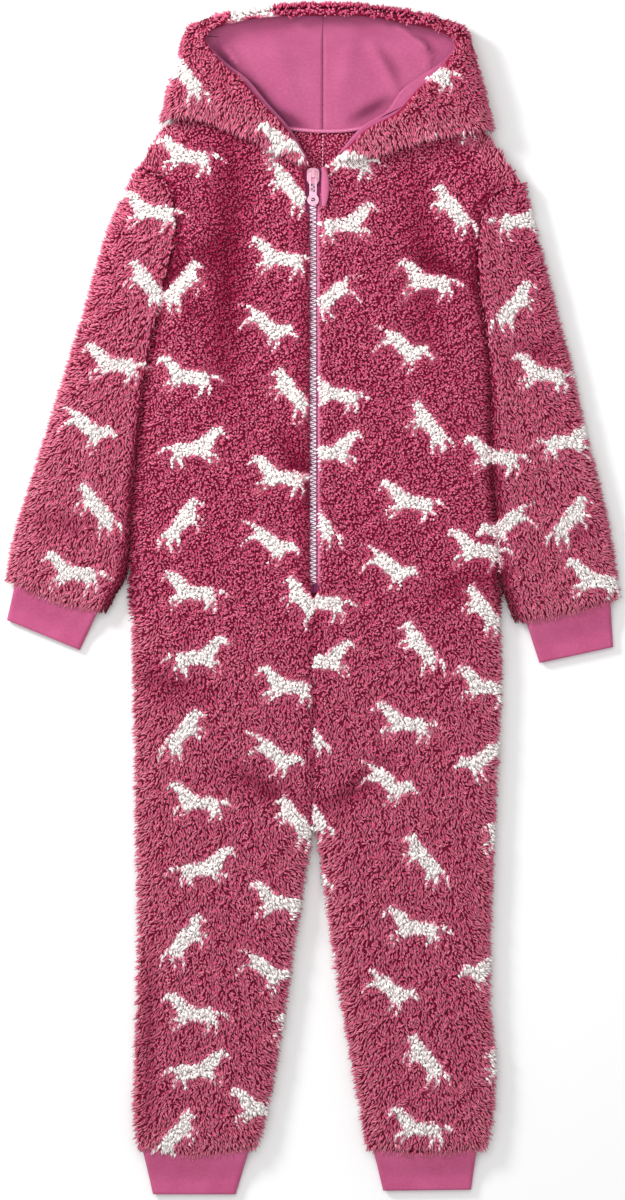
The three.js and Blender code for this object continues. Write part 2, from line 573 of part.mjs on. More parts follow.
// One surface of the hood's rolled section: along the floor from the centre seam, round
// the fold, and back over itself to the rim
function hoodSurface(side, layer, sectionCount, stepCount) {
  const levels = hoodLevels[side];
  const feet = hoodFeet[side];
  const value = (key, t) => follow(levels.map((row, i) => ({ i, v: row[key] })), 'i', 'v', t * (levels.length - 1));
  const last = levels[levels.length - 1];
  return graded(sectionCount, 0.5).map((t) => {
    const fold = [value('foldX', t), value('foldY', t)];
    const seam = [levels[0].foldX, value('seamY', t)];
    let rim = [value('rimX', t), value('rimY', t)];
    const reach = Math.hypot(rim[0] - fold[0], rim[1] - fold[1]);
    const toRim = [(rim[0] - fold[0]) / reach, (rim[1] - fold[1]) / reach];
    const show = layer.lining ? value('show', t) : 0;
    rim = [rim[0] + toRim[0] * show, rim[1] + toRim[1] * show];
    const span = Math.hypot(seam[0] - fold[0], seam[1] - fold[1]);
    const toSeam = [(seam[0] - fold[0]) / span, (seam[1] - fold[1]) / span];
    const ahead = [value('foldX', t + 0.01) - fold[0], value('foldY', t + 0.01) - fold[1]];
    const back = [fold[0] - value('foldX', t - 0.01), fold[1] - value('foldY', t - 0.01)];
    const tangent = t < 1 ? ahead : back;
    const turn = sides[side].sign * Math.hypot(...tangent);
    const inward = mix2([0, -1], [tangent[1] / turn, -tangent[0] / turn], smooth(t * 14));
    const top = value('top', t);
    const sideWall = Math.min(pile, 0.55 * reach);
    const inset = layer.depth === 0 ? 0 : sideWall + layer.depth - pile;
    const radius = Math.max(0.6, Math.min(13, 0.42 * reach) - inset * 0.6);
    const low = layer.depth;
    const high = top - layer.depth;
    const fade = smooth((t - 0.35) / 0.65) ** 1.3;
    const bow = (line, x, from) => {
      const straight = mix(last.foldY, from[1], clamp01((x - last.foldX) / (from[0] - last.foldX)));
      return (heightOn(line, x) - straight) * fade;
    };
    const scaleX = (p, from) => mix(last.foldX, from[0], clamp01(p));
    const floorFrom = [levels[0].foldX, last.seamY];
    const flapFrom = [last.rimX, last.rimY];
    const points = [];
    const floorSteps = Math.round(stepCount * 0.42);
    const rollSteps = Math.round(stepCount * 0.3);
    const flapSteps = stepCount - floorSteps - rollSteps;
    // along is the distance from the fold, and floor is 1 on the lower layer, 0 on the flap
    const place = (along, floor, z) => {
      const onRoll = Math.min(along, inset + radius);
      const dir = mix2(inward, mix2(toRim, toSeam, floor), smooth((t - 0.55) / 0.45));
      const turned = [fold[0] + dir[0] * onRoll, fold[1] + dir[1] * onRoll];
      const total = floor > 0.5 ? span : reach + show;
      const p = mix2(turned, floor > 0.5 ? seam : rim, (along - onRoll) / (total - inset - radius));
      const clear = layer.lining ? smooth((along - 16) / 25) : 0;
      const floorX = scaleX(along / span, floorFrom);
      const flapX = scaleX(along / reach, flapFrom);
      const lower = mix(bow(feet.seam, floorX, floorFrom), bow(feet.liningSeam, floorX, floorFrom), clear);
      const upper = mix(bow(feet.flap, flapX, flapFrom), bow(feet.lining, flapX, flapFrom), clear);
      points.push(new THREE.Vector3(p[0], p[1] + mix(upper, lower, floor), z));
    };
    const cornerShare = (sides[side].neckX - last.foldX) / (floorFrom[0] - last.foldX);
    const floorRun = Array.from({ length: floorSteps + 1 }, (_, k) => mix(span, inset + radius, k / floorSteps));
    const atCorner = cornerShare * span > inset + radius + 3 ? holding(floorRun, cornerShare * span) : floorRun;
    atCorner.slice(0, floorSteps).forEach((along) => place(along, 1, low));
    for (let k = 0; k <= rollSteps; k += 1) {
      const angle = Math.PI * k / rollSteps;
      place(inset + radius * (1 - Math.sin(angle)), 1 - k / rollSteps, (low + high) / 2 - (high - low) / 2 * Math.cos(angle));
    }
    for (let k = 1; k <= flapSteps; k += 1) {
      place(mix(inset + radius, reach + show, k / flapSteps), 0, high);
    }
    return points;
  });
}

function hoodHalf(side) {
  const outside = hoodSurface(side, { depth: 0, lining: false }, 14, 14);
  const inside = hoodSurface(side, { depth: pile, lining: false }, 14, 14);
  return wall(outside, inside);
}

function liningHalf(side) {
  const outside = hoodSurface(side, { depth: pile + seamGap, lining: true }, 14, 14);
  const inside = hoodSurface(side, { depth: pile + seamGap + jersey, lining: true }, 14, 14);
  return wall(outside, inside);
}

const wasm = await Module();
wasm.setup();

function toManifold(geometry) {
  const bare = geometry.clone();
  bare.deleteAttribute('normal');
  bare.deleteAttribute('uv');
  const merged = mergeVertices(bare);
  return new wasm.Manifold(new wasm.Mesh({
    numProp: 3,
    vertProperties: new Float32Array(merged.attributes.position.array),
    triVerts: new Uint32Array(merged.index.array),
  }));
}

function toGeometry(manifold) {
  const mesh = manifold.getMesh();
  const geometry = new THREE.BufferGeometry();
  geometry.setAttribute('position', new THREE.BufferAttribute(new Float32Array(mesh.vertProperties), 3));
  geometry.setIndex(Array.from(mesh.triVerts));
  geometry.computeVertexNormals();
  return geometry;
}

function block(x0, x1, y0, y1, z0, z1) {
  const geometry = new THREE.BoxGeometry(x1 - x0, y1 - y0, z1 - z0);
  return geometry.translate((x0 + x1) / 2, (y0 + y1) / 2, (z0 + z1) / 2);
}

function zipTape(side) {
  const { sign } = sides[side];
  const [a, b] = [sign * tapeInner, sign * tapeOuter];
  return block(Math.min(a, b), Math.max(a, b), tapeEnd, tapeStart, tapeBottom, tapeTop);
}

// The slider: two plates with flanges, joined by a nose, and a lug over the tab's bar
const plate = 1.3;
const sliderHalf = 5.2;
const flangeInner = 4.1;
const noseBottom = 361;
function sliderPlate(z) {
  const outline = new THREE.Shape();
  outline.moveTo(-3.6, sliderBottom);
  outline.lineTo(3.6, sliderBottom);
  outline.lineTo(sliderHalf, sliderBottom + 3);
  outline.lineTo(sliderHalf, sliderTop - 3.5);
  outline.quadraticCurveTo(sliderHalf, sliderTop, 0, sliderTop);
  outline.quadraticCurveTo(-sliderHalf, sliderTop, -sliderHalf, sliderTop - 3.5);
  outline.lineTo(-sliderHalf, sliderBottom + 3);
  return new THREE.ExtrudeGeometry(outline, { depth: plate, bevelEnabled: false, curveSegments: 5 }).translate(0, 0, z);
}

function slider() {
  const lowPlate = chainBottom - seamGap - plate;
  const highPlate = chainTop + seamGap;
  const topFace = highPlate + plate;
  const lugHalf = 1.3;
  const eye = 1.8;
  const post = 1.4;
  const bridgeBottom = hingeZ + 1.25;
  const bridgeTop = bridgeBottom + 1.15;
  const pieces = [
    sliderPlate(lowPlate),
    sliderPlate(highPlate),
    block(-1.6, 1.6, noseBottom, sliderTop - 0.6, lowPlate + plate - 0.1, highPlate + 0.1),
    block(-lugHalf, lugHalf, hingeY + eye, hingeY + eye + post, topFace - 0.1, bridgeTop),
    block(-lugHalf, lugHalf, hingeY - eye - post, hingeY - eye, topFace - 0.1, bridgeTop),
    block(-lugHalf, lugHalf, hingeY - eye - 0.1, hingeY + eye + 0.1, bridgeBottom, bridgeTop),
  ];
  [-1, 1].forEach((sign) => {
    const x0 = Math.min(sign * flangeInner, sign * (sliderHalf - 0.05));
    const x1 = Math.max(sign * flangeInner, sign * (sliderHalf - 0.05));
    pieces.push(block(x0, x1, sliderBottom + 3.2, noseBottom + 1, tapeTop + seamGap, highPlate + 0.1));
    pieces.push(block(x0, x1, sliderBottom + 3.2, noseBottom + 1, lowPlate + plate - 0.1, tapeBottom - seamGap));
  });
  return toGeometry(pieces.map(toManifold).reduce((whole, piece) => whole.add(piece)));
}

// The pull tab: a bar in the lug, two rails round a long window, and a round end
const tabBar = 1.5;
const railInner = 1.75;
const railOuter = 3.1;
function pullTab() {
  const top = tabBar / 2;
  const ringCentre = tabRingY - hingeY;
  const meet = ringCentre + Math.sqrt(tabRingRadius ** 2 - railOuter ** 2);
  const outline = new THREE.Shape();
  outline.moveTo(-railOuter, top);
  outline.lineTo(-railOuter, meet);
  const startAngle = Math.atan2(meet - ringCentre, -railOuter);
  const endAngle = Math.atan2(meet - ringCentre, railOuter);
  outline.absarc(0, ringCentre, tabRingRadius, startAngle, endAngle + 2 * Math.PI, false);
  outline.lineTo(railOuter, top);
  const windowBottom = ringCentre + tabRingRadius + 1.6;
  const slot = new THREE.Path();
  slot.moveTo(-railInner, -top);
  slot.lineTo(railInner, -top);
  slot.lineTo(railInner, windowBottom);
  slot.lineTo(-railInner, windowBottom);
  const hole = new THREE.Path();
  hole.absarc(0, ringCentre, tabHoleRadius, 0, 2 * Math.PI, true);
  outline.holes.push(slot, hole);
  return new THREE.ExtrudeGeometry(outline, { depth: tabThickness, bevelEnabled: false, curveSegments: 14 })
    .translate(0, 0, -tabThickness / 2);
}

// The zip guard: a narrow band of jersey over the top of the zip, lying on the left front
const guardPath = [[5, 365.6], [9.2, 364.6], [11.8, 360], [12.8, 352], [12.4, 344], [11.2, 336]];
const guardHalf = 2.3;
const guardWall = 1.6;
function zipGuard() {
  const path = curveThrough(guardPath);
  const steps = Array.from({ length: 13 }, (_, i) => i / 12);
  const layer = (rise) => steps.map((t) => {
    const p = path.getPointAt(t);
    const d = path.getTangentAt(t);
    const half = guardHalf * Math.sin(Math.PI * mix(0.14, 0.86, t)) ** 0.6;
    return [-1, 0, 1].map((across) => {
      const x = p.x - d.y * half * across;
      const y = p.y + d.x * half * across;
      const crown = rise > 1 ? 0.5 * (1 - across * across) : 0;
      return new THREE.Vector3(x, y, frontTop + rise + crown - 0.4);
    });
  });
  return wall(layer(0.9 + guardWall), layer(0.9));
}

const fleece = new THREE.MeshStandardMaterial({ color: 0xaa3c64, roughness: 0.95, metalness: 0 });
const jerseyPink = new THREE.MeshStandardMaterial({ color: 0xc65585, roughness: 0.85, metalness: 0 });
const tapePink = new THREE.MeshStandardMaterial({ color: 0xb8507c, roughness: 0.8, metalness: 0 });
const teeth = new THREE.MeshStandardMaterial({ color: 0xe8c9d6, roughness: 0.4, metalness: 0 });
const moulded = new THREE.MeshStandardMaterial({ color: 0xc9688f, roughness: 0.35, metalness: 0 });

const garment = new THREE.Group();
function add(name, geometry, material) {
  const mesh = new THREE.Mesh(geometry, material);
  mesh.name = name;
  garment.add(mesh);
  return mesh;
}

for (const side of ['right', 'left']) {
  add(`back_${side}`, backPanel(side), fleece);
  add(`front_${side}`, frontPanel(side), fleece);
  add(`sleeve_${side}`, sleeve(side), fleece);
  add(`hood_${side}`, hoodHalf(side), fleece);
  add(`hood_lining_${side}`, liningHalf(side), jerseyPink);
  add(`arm_cuff_${side}`, cuff(side, sides[side].armCuff, sleeveEnd), jerseyPink);
  add(`leg_cuff_${side}`, cuff(side, sides[side].legCuff, legEnd), jerseyPink);
  add(`zip_tape_${side}`, zipTape(side), tapePink);
}
add('zip_chain', block(-chainHalf, chainHalf, zipEnd, noseBottom - seamGap, chainBottom, chainTop), teeth);
add('zip_slider', slider(), moulded);
add('zip_guard', zipGuard(), jerseyPink);
add('zip_pull', pullTab(), moulded).position.set(0, hingeY, hingeZ);

// The origin is the middle of the garment's box, on the surface it lies on
const bounds = new THREE.Box3().setFromObject(garment);
garment.position.set(-(bounds.min.x + bounds.max.x) / 2, -(bounds.min.y + bounds.max.y) / 2, -bounds.min.z);

export default garment;
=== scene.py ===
# %% [markdown]
# # A child's hooded fleece pyjama, laid flat
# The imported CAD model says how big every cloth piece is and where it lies. This lesson dresses
# it: long curled pile over a thin ground cloth, a knitted jersey lining and cuffs, a moulded
# zip. Lengths are written in millimetres, as a maker writes them, and become metres at the end.

import bpy
import numpy as np
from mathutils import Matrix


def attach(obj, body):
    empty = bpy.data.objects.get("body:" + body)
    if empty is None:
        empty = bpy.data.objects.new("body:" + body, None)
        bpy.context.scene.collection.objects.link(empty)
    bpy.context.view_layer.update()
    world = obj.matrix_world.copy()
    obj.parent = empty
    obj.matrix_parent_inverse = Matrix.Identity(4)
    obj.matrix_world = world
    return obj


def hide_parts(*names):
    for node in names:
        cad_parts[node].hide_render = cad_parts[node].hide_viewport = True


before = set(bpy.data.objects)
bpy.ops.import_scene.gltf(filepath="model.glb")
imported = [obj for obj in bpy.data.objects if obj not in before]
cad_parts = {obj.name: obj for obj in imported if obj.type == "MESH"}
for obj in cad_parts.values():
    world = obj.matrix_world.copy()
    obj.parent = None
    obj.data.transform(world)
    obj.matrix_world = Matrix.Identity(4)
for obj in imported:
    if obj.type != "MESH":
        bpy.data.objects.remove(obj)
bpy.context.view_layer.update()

# %% [markdown]
# The photograph looks straight down on the garment. One of its pixels is 0.85 mm on the cloth,
# which the pitch of the zip gives, so the picture's height is 1.02 m. The camera hangs four
# metres up, far enough that the perspective is as weak as in a product photograph.

# %% The camera
MM = 0.001
PIXEL = 0.85
PHOTO = (625, 1200)
camera_height = 4.0

camera_data = bpy.data.cameras.new("camera")
camera = bpy.data.objects.new("camera", camera_data)
bpy.context.scene.collection.objects.link(camera)
bpy.context.scene.camera = camera
camera_data.lens = camera_data.sensor_width * camera_height / (PHOTO[1] * PIXEL * MM)
camera.location = ((PHOTO[0] / 2 - 313) * PIXEL * MM, 0, camera_height)
print(f"lens {camera_data.lens:.0f} mm, {camera_height} m above the floor")

# %% [markdown]
# The garment lies on a white floor in a light that comes from everywhere, a little stronger
# from the upper left: a large lamp above for soft shadows, and a smaller one at the side for
# the short ones between the curls of the pile.

# %% Floor and light
def lamp(name, place, size, power):
    """A square lamp at a place in metres, turned to the middle of the garment."""
    data = bpy.data.lights.new(name, "AREA")
    data.size, data.energy = size, power
    made = bpy.data.objects.new(name, data)
    made.location = place
    aim = -made.location
    made.rotation_euler = aim.to_track_quat("-Z", "Y").to_euler()
    bpy.context.scene.collection.objects.link(made)


lamp("sky_lamp", (-0.25, 0.35, 2.6), 2.4, 43)
lamp("side_lamp", (-1.5, 1.2, 1.1), 0.5, 40)
world = bpy.data.worlds.new("studio")
world.use_nodes = True
world.node_tree.nodes["Background"].inputs["Color"].default_value = (1, 1, 1, 1)
world.node_tree.nodes["Background"].inputs["Strength"].default_value = 0.55
bpy.context.scene.world = world
bpy.context.scene.view_settings.view_transform = "Standard"

half_floor, floor_height = 4.0, -0.0004
floor_mesh = bpy.data.meshes.new("floor")
corners = [(x * half_floor, y * half_floor, floor_height)
           for x, y in ((-1, -1), (1, -1), (1, 1), (-1, 1))]
floor_mesh.from_pydata(corners, [], [(0, 1, 2, 3)])
floor = bpy.data.objects.new("floor", floor_mesh)
bpy.context.scene.collection.objects.link(floor)
print("floor", 2 * half_floor, "m wide")

# %% [markdown]
# Materials are built from nodes. Short helpers keep them readable: one turns a colour as a
# paint chart gives it (0 to 255) into the linear light that shaders use, one adds a node and
# wires it, one starts a node group, and the others are the steps that several finishes share.

# %% Node helpers
def shade(red, green, blue):
    """A screen colour as linear light: each share c becomes ((c + 0.055) / 1.055) to the 2.4."""
    c = np.array([red, green, blue]) / 255
    linear = np.where(c <= 0.04045, c / 12.92, ((c + 0.055) / 1.055) ** 2.4)
    return (*linear.tolist(), 1.0)


def node(tree, kind, inputs=None, **settings):
    """Adds a node; an input is given a value, or another node's output to read."""
    made = tree.nodes.new(kind)
    for key, value in settings.items():
        setattr(made, key, value)
    for key, value in (inputs or {}).items():
        if isinstance(value, bpy.types.NodeSocket):
            tree.links.new(value, made.inputs[key])
        else:
            made.inputs[key].default_value = value
    return made


def start_group(name, inputs, outputs):
    """An empty node group whose sockets are pairs of a name and a kind."""
    group = bpy.data.node_groups.new(name, "ShaderNodeTree")
    for way, sockets in (("INPUT", inputs), ("OUTPUT", outputs)):
        for label, kind in sockets:
            group.interface.new_socket(name=label, in_out=way, socket_type="NodeSocket" + kind)
    return group, group.nodes.new("NodeGroupInput"), group.nodes.new("NodeGroupOutput")


def ramp(tree, factor, stops):
    """A colour ramp from (place, colour) pairs."""
    made = node(tree, "ShaderNodeValToRGB", {"Fac": factor})
    elements = made.color_ramp.elements
    while len(elements) < len(stops):
        elements.new(0.5)
    for element, (place, colour) in zip(elements, stops):
        element.position, element.color = place, colour
    return made.outputs["Color"]


def spread(tree, value, low, high, start=0.0, end=1.0):
    """What lies between start and end becomes low to high, in proportion, and stops there."""
    return node(tree, "ShaderNodeMapRange", {
        "Value": value, "From Min": start, "From Max": end, "To Min": low, "To Max": high,
    }).outputs["Result"]


def tint(tree, factor, a, b):
    """The colour a plus a factor times the way to b."""
    made = node(tree, "ShaderNodeMix", {"Factor": factor, "A": a, "B": b}, data_type="RGBA")
    return made.outputs[2]


def grain(tree, scale, detail):
    """Noise on the object's own coordinates, with about scale patches to the metre."""
    place = node(tree, "ShaderNodeTexCoord")
    return node(tree, "ShaderNodeTexNoise", {
        "Vector": place.outputs["Object"], "Scale": scale, "Detail": detail}).outputs["Fac"]


def emboss(tree, shader, height, strength, distance):
    """Gives a shader a bump: the height times distance in metres, felt as strongly as said."""
    bump = node(tree, "ShaderNodeBump", {
        "Height": height, "Strength": strength, "Distance": distance})
    tree.links.new(bump.outputs["Normal"], shader.inputs["Normal"])


def new_material(name, **values):
    """A material with one Principled shader; values that are the same everywhere go on it."""
    made = bpy.data.materials.new(name)
    made.use_nodes = True
    shader = made.node_tree.nodes["Principled BSDF"]
    for key, value in values.items():
        shader.inputs[key].default_value = value
    return made, made.node_tree, shader


print("node helpers ready")

# %% [markdown]
# The fleece is a curled pile, dark in the gaps and paler where a lock of fibres ends in the
# light. Each vertex of the pile carries three numbers: how near it is to the tip of its lock,
# how white its horse motif makes it, and a number for its lock, half of it chance and half how
# flat the lock lies. One group turns them into a colour, for the locks and for the ground
# cloth under them alike. That colour paints light and shade in: painted shade at the roots,
# a painted highlight at the tips, and a painted sheen that makes flat locks paler. The chance
# half is the cloth's own uneven tone.

# %% The pile's colour
pile_colour, group_in, group_out = start_group(
    "pile colour",
    [("Tip", "Float"), ("White", "Float"), ("Lock", "Float")], [("Colour", "Color")])
tip, white, lock = (group_in.outputs[label] for label in ("Tip", "White", "Lock"))
# painted shade and highlight: each ramp runs from a dark root, in the shade between locks, to a
# pale tip in the light
pinks = [(0.0, shade(92, 0, 30)), (0.35, shade(140, 22, 60)), (0.7, shade(202, 78, 114)),
         (1.0, shade(240, 142, 168))]
whites = [(0.0, shade(244, 214, 219)), (0.4, shade(250, 238, 236)), (1.0, shade(250, 245, 243))]
# the lock value: its random half is the cloth's own uneven tone, its flat half a painted sheen that
# pales and greys the pink
toned = node(pile_colour, "ShaderNodeHueSaturation", {
    "Value": spread(pile_colour, lock, 0.84, 1.18),
    "Saturation": spread(pile_colour, lock, 1.1, 0.84), "Color": ramp(pile_colour, tip, pinks)})
fringed = tint(pile_colour, spread(pile_colour, white, 0, 1, 0.05, 0.5), toned.outputs["Color"],
               shade(234, 130, 158))
both = tint(pile_colour, spread(pile_colour, white, 0, 1, 0.45, 0.8), fringed,
            ramp(pile_colour, tip, whites))
pile_colour.links.new(both, group_out.inputs["Colour"])


def pile_material(name, fine):
    """Fleece read from the vertex values tip, white and lock, with a fine strand bump."""
    made, tree, shader = new_material(
        name, **{"Roughness": 0.85, "Sheen Weight": 0.04, "Sheen Roughness": 0.5,
                 "Specular IOR Level": 0.06})
    colour = node(tree, "ShaderNodeGroup", node_tree=pile_colour)
    for label in ("tip", "white", "lock"):
        value = node(tree, "ShaderNodeAttribute", attribute_name=label)
        tree.links.new(value.outputs["Fac"], colour.inputs[label.capitalize()])
    tree.links.new(colour.outputs["Colour"], shader.inputs["Base Color"])
    strands = grain(tree, fine, 2.0)
    emboss(tree, shader, strands, 0.5, 0.0006)
    tree.links.new(spread(tree, strands, 0.75, 0.95), shader.inputs["Roughness"])
    return made


lock_material = pile_material("fleece pile", 1800.0)
ground_material = pile_material("fleece ground", 900.0)
neck_material = pile_material("fleece at the neck", 1800.0)
print("pile colour from", len(pinks), "pinks and", len(whites), "whites")

# %% [markdown]
# Every cloth piece follows the lines of the pattern. Three plain tools draw them: a step
# without corners, a smooth height over a table, and a smooth line through points.

# %% Lines
def smooth(value):
    """From 0 to 1 without a corner: t squared times (3 minus 2 t), t held between 0 and 1."""
    t = np.clip(value, 0, 1)
    return t * t * (3 - 2 * t)


def mix(a, b, t):
    """a plus t times the way to b."""
    return a + (b - a) * t


def unit(v):
    """Each vector divided by its length."""
    return v / np.maximum(np.linalg.norm(v, axis=-1, keepdims=True), 1e-9)


def cubic(a, b, rise_a, rise_b, t):
    """The cubic from a to b with these end slopes (Hermite's four weights)."""
    return ((2 * t**3 - 3 * t**2 + 1) * a + (t**3 - 2 * t**2 + t) * rise_a
            + (3 * t**2 - 2 * t**3) * b + (t**3 - t**2) * rise_b)


def follow(stations, values, at):
    """A height over stations: cubics whose slope at a station is that of its neighbours."""
    x, v = np.asarray(stations, float), np.asarray(values, float)
    if x[-1] < x[0]:
        x, v = x[::-1], v[::-1]
    number = np.arange(len(x))
    before, after = np.maximum(number - 1, 0), np.minimum(number + 1, len(x) - 1)
    slope = (v[after] - v[before]) / (x[after] - x[before])
    k = np.clip(np.searchsorted(x, at) - 1, 0, len(x) - 2)
    span = x[k + 1] - x[k]
    t = np.clip((at - x[k]) / span, 0, 1)
    return cubic(v[k], v[k + 1], slope[k] * span, slope[k + 1] * span, t)


STEPS = 24                       # of a smooth line, between each two of its points


def through(points):
    """A line through points, with STEPS between each two: the slope at a point weighs its
    neighbours by the square roots of their distances (centripetal), so it never loops."""
    p = np.asarray(points, float)
    p = np.vstack([2 * p[0] - p[1], p, 2 * p[-1] - p[-2]])
    gap = np.sqrt(np.linalg.norm(np.diff(p, axis=0), axis=1))[:, None]
    a, b, c, d = p[:-3], p[1:-2], p[2:-1], p[3:]
    g, h, k = gap[:-2], gap[1:-1], gap[2:]
    leave = ((b - a) / g - (c - a) / (g + h) + (c - b) / h) * h
    arrive = ((c - b) / h - (d - b) / (h + k) + (d - c) / k) * h
    t = np.linspace(0, 1, STEPS, endpoint=False)[:, None, None]
    dense = cubic(b, c, leave, arrive, t).transpose(1, 0, 2).reshape(-1, p.shape[1])
    return np.vstack([dense, p[-2]])


def by_length(line, share):
    """The points at shares of a line's length."""
    run = np.concatenate([[0], np.cumsum(np.linalg.norm(np.diff(line, axis=0), axis=1))])
    return np.stack([np.interp(share * run[-1], run, line[:, k]) for k in range(line.shape[1])], -1)


def by_number(line, share):
    """The points at shares of a line's point numbers."""
    number = np.linspace(0, 1, len(line))
    return np.stack([np.interp(share, number, line[:, k]) for k in range(line.shape[1])], -1)


print("a step half way:", smooth(0.5))

# %% [markdown]
# A surface is a grid of points. Cloth gets a second grid behind it and a rim between the two,
# so that it is a closed wall whose faces point outwards. The mesh is filled in one go from
# whole arrays, with the number of each grid row and column as its UV map.

# %% From grids to meshes
def put_mesh(name, points, faces, material, uv=None, fields=None):
    """A mesh object from points in mm and an array of faces; uv and fields are per point."""
    mesh = bpy.data.meshes.new(name)
    corner = np.ascontiguousarray(faces, np.int32)
    mesh.vertices.add(len(points))
    mesh.vertices.foreach_set("co", (np.asarray(points) * MM).astype(np.float32).ravel())
    mesh.loops.add(corner.size)
    mesh.loops.foreach_set("vertex_index", corner.ravel())
    mesh.polygons.add(len(corner))
    many = corner.shape[1]
    mesh.polygons.foreach_set("loop_start", np.arange(0, corner.size, many, dtype=np.int32))
    mesh.polygons.foreach_set("loop_total", np.full(len(corner), many, np.int32))
    mesh.update(calc_edges=True)
    if uv is not None:
        layer = mesh.uv_layers.new(name="cloth")
        layer.data.foreach_set("uv", np.asarray(uv)[corner.ravel()].astype(np.float32).ravel())
    for label, values in (fields or {}).items():
        layer = mesh.attributes.new(label, "FLOAT", "POINT")
        layer.data.foreach_set("value", values.astype(np.float32))
    mesh.shade_smooth()
    mesh.materials.append(material)
    made = bpy.data.objects.new(name, mesh)
    bpy.context.scene.collection.objects.link(made)
    return made


def outward(points, faces):
    """The faces, all turned round if the volume they enclose comes out negative."""
    a, b = points[faces[:, 0]], points[faces[:, 1]]
    c, d = points[faces[:, 2]], points[faces[:, -1]]
    volume = (a * np.cross(b, c)).sum() + (a * np.cross(c, d)).sum()
    return faces if volume > 0 else faces[:, ::-1]


def cells(rows, columns, first=0, around=False):
    """The four corners of each cell of a grid; around closes its last column to its first."""
    last = columns if around else columns - 1
    i, j = np.meshgrid(np.arange(rows - 1), np.arange(last), indexing="ij")
    k = (j + 1) % columns
    return first + np.stack([i * columns + j, i * columns + k, (i + 1) * columns + k,
                             (i + 1) * columns + j], -1).reshape(-1, 4)


def strip(a, b):
    """Faces between two closed or open chains of point numbers."""
    return np.stack([a[:-1], a[1:], b[1:], b[:-1]], -1)


def wall(upper, lower):
    """A closed wall between two grids: both grids and the strip round their rims."""
    rows, columns = upper.shape[:2]
    number = np.arange(rows * columns).reshape(rows, columns)
    rim = np.concatenate([number[0, :-1], number[:-1, -1], number[-1, :0:-1], number[:0:-1, 0],
                          number[:1, 0]])
    below = cells(rows, columns, rows * columns)[:, ::-1]
    faces = np.vstack([cells(rows, columns), below, strip(rim, rim + rows * columns)[:, ::-1]])
    points = np.vstack([upper.reshape(-1, 3), lower.reshape(-1, 3)])
    return points, outward(points, faces)


def tube_wall(outer, inner):
    """A closed wall of a tube that is open at both ends; columns run round the tube."""
    rows, columns = outer.shape[:2]
    many = rows * columns
    first = np.append(np.arange(columns), 0)
    last = first + (rows - 1) * columns
    faces = np.vstack([cells(rows, columns, 0, True), cells(rows, columns, many, True)[:, ::-1],
                       strip(first, first + many)[:, ::-1], strip(last, last + many)])
    points = np.vstack([outer.reshape(-1, 3), inner.reshape(-1, 3)])
    return points, outward(points, faces)


def grid_uv(grid):
    """Metres along the rows and columns of a grid, as a UV map for both sides of a wall."""
    across = np.linalg.norm(np.diff(grid, axis=1), axis=2).mean(0)
    down = np.linalg.norm(np.diff(grid, axis=0), axis=2).mean(1)
    u = np.broadcast_to(np.concatenate([[0], np.cumsum(across)]), grid.shape[:2])
    v = np.broadcast_to(np.concatenate([[0], np.cumsum(down)])[:, None], grid.shape[:2])
    one = np.stack([u, v], -1).reshape(-1, 2) * MM
    return np.vstack([one, one])


def half_area(points, faces):
    """Half the surface of a closed mesh in square metres, which is the area of its cloth."""
    a, b, c, d = (points[faces[:, k]] for k in (0, 1, 2, -1))
    cross = (np.linalg.norm(np.cross(b - a, c - a), axis=1)
             + np.linalg.norm(np.cross(c - a, d - a), axis=1))
    return cross.sum() / 4 * MM * MM


print("grid tools ready")

# %% [markdown]
# ## The white horses
# Rows of small white horses are knitted into the fleece: galloping, rearing and kicking. A
# horse is drawn as a handful of tapered limbs, each a straight bone with a radius at either
# end, and its outline is where the nearest limb begins. The poses are plain ones, any horse's.

# %% Three poses
# Each limb: x, y and radius at its one end, then at its other, in mm from the horse's middle
horse_poses = {
    "gallop": [
        (-30, 13, 1.6, -24, 18, 2.8), (-25, 19, 2.6, -19, 17, 3.6), (-22, 21, 1.2, -21.5, 24, 0.4),
        (-20, 17, 4, -10, 5, 6), (-9, 3, 6, 2, 1.5, 5.2), (2, 1.5, 5.2, 12, 0.5, 5.6),
        (16, 2, 1.4, 23, 2.5, 2.6), (23, 2.5, 2.6, 33, -4, 1), (-12, -1, 3, -22, -4, 1.8),
        (-22, -4, 1.8, -23, -11, 1.2), (-9, -3, 2.8, -16, -9, 1.7), (-16, -9, 1.7, -22, -14, 1.1),
        (12, -2, 4, 11, -10, 2.4), (11, -10, 2.4, 7, -17, 1.3), (14, -2, 3.4, 19, -9, 2),
        (19, -9, 2, 17, -17, 1.2)],
    "rear": [
        (9, -8, 5.6, -5, 8, 6.2), (-6, 9, 5.6, -10, 20, 3.8), (-10, 21, 3.2, -19, 17, 1.6),
        (-9, 24, 1.2, -8.5, 27, 0.4), (-8, 6, 3, -17, 6, 1.8), (-17, 6, 1.8, -20, -1, 1.2),
        (-8, 3, 2.8, -15, -2, 1.7), (-15, -2, 1.7, -13, -8, 1.1), (9, -10, 4, 12, -18, 2.2),
        (12, -18, 2.2, 8, -26, 1.3), (5, -11, 3.6, 2, -18, 2), (2, -18, 2, 2, -26, 1.2),
        (14, -8, 1.5, 20, -14, 2.6), (20, -14, 2.6, 22, -25, 1)],
    "kick": [
        (-9, 9, 5.4, 6, -4, 6), (7, -4, 5.2, 17, -1, 4), (17, -1, 3.6, 25, -8, 1.8),
        (17, 3, 1.2, 16, 6, 0.4), (6, -8, 3, 7, -16, 1.8), (7, -16, 1.8, 2, -22, 1.2),
        (2, -8, 2.8, -1, -15, 1.7), (-1, -15, 1.7, -7, -19, 1.1), (-10, 10, 4, -17, 18, 2.2),
        (-17, 18, 2.2, -27, 21, 1.3), (-12, 7, 3.6, -21, 6, 2), (-21, 6, 2, -28, -3, 1.2)],
}
faces_left = {"gallop": True, "rear": True, "kick": False}

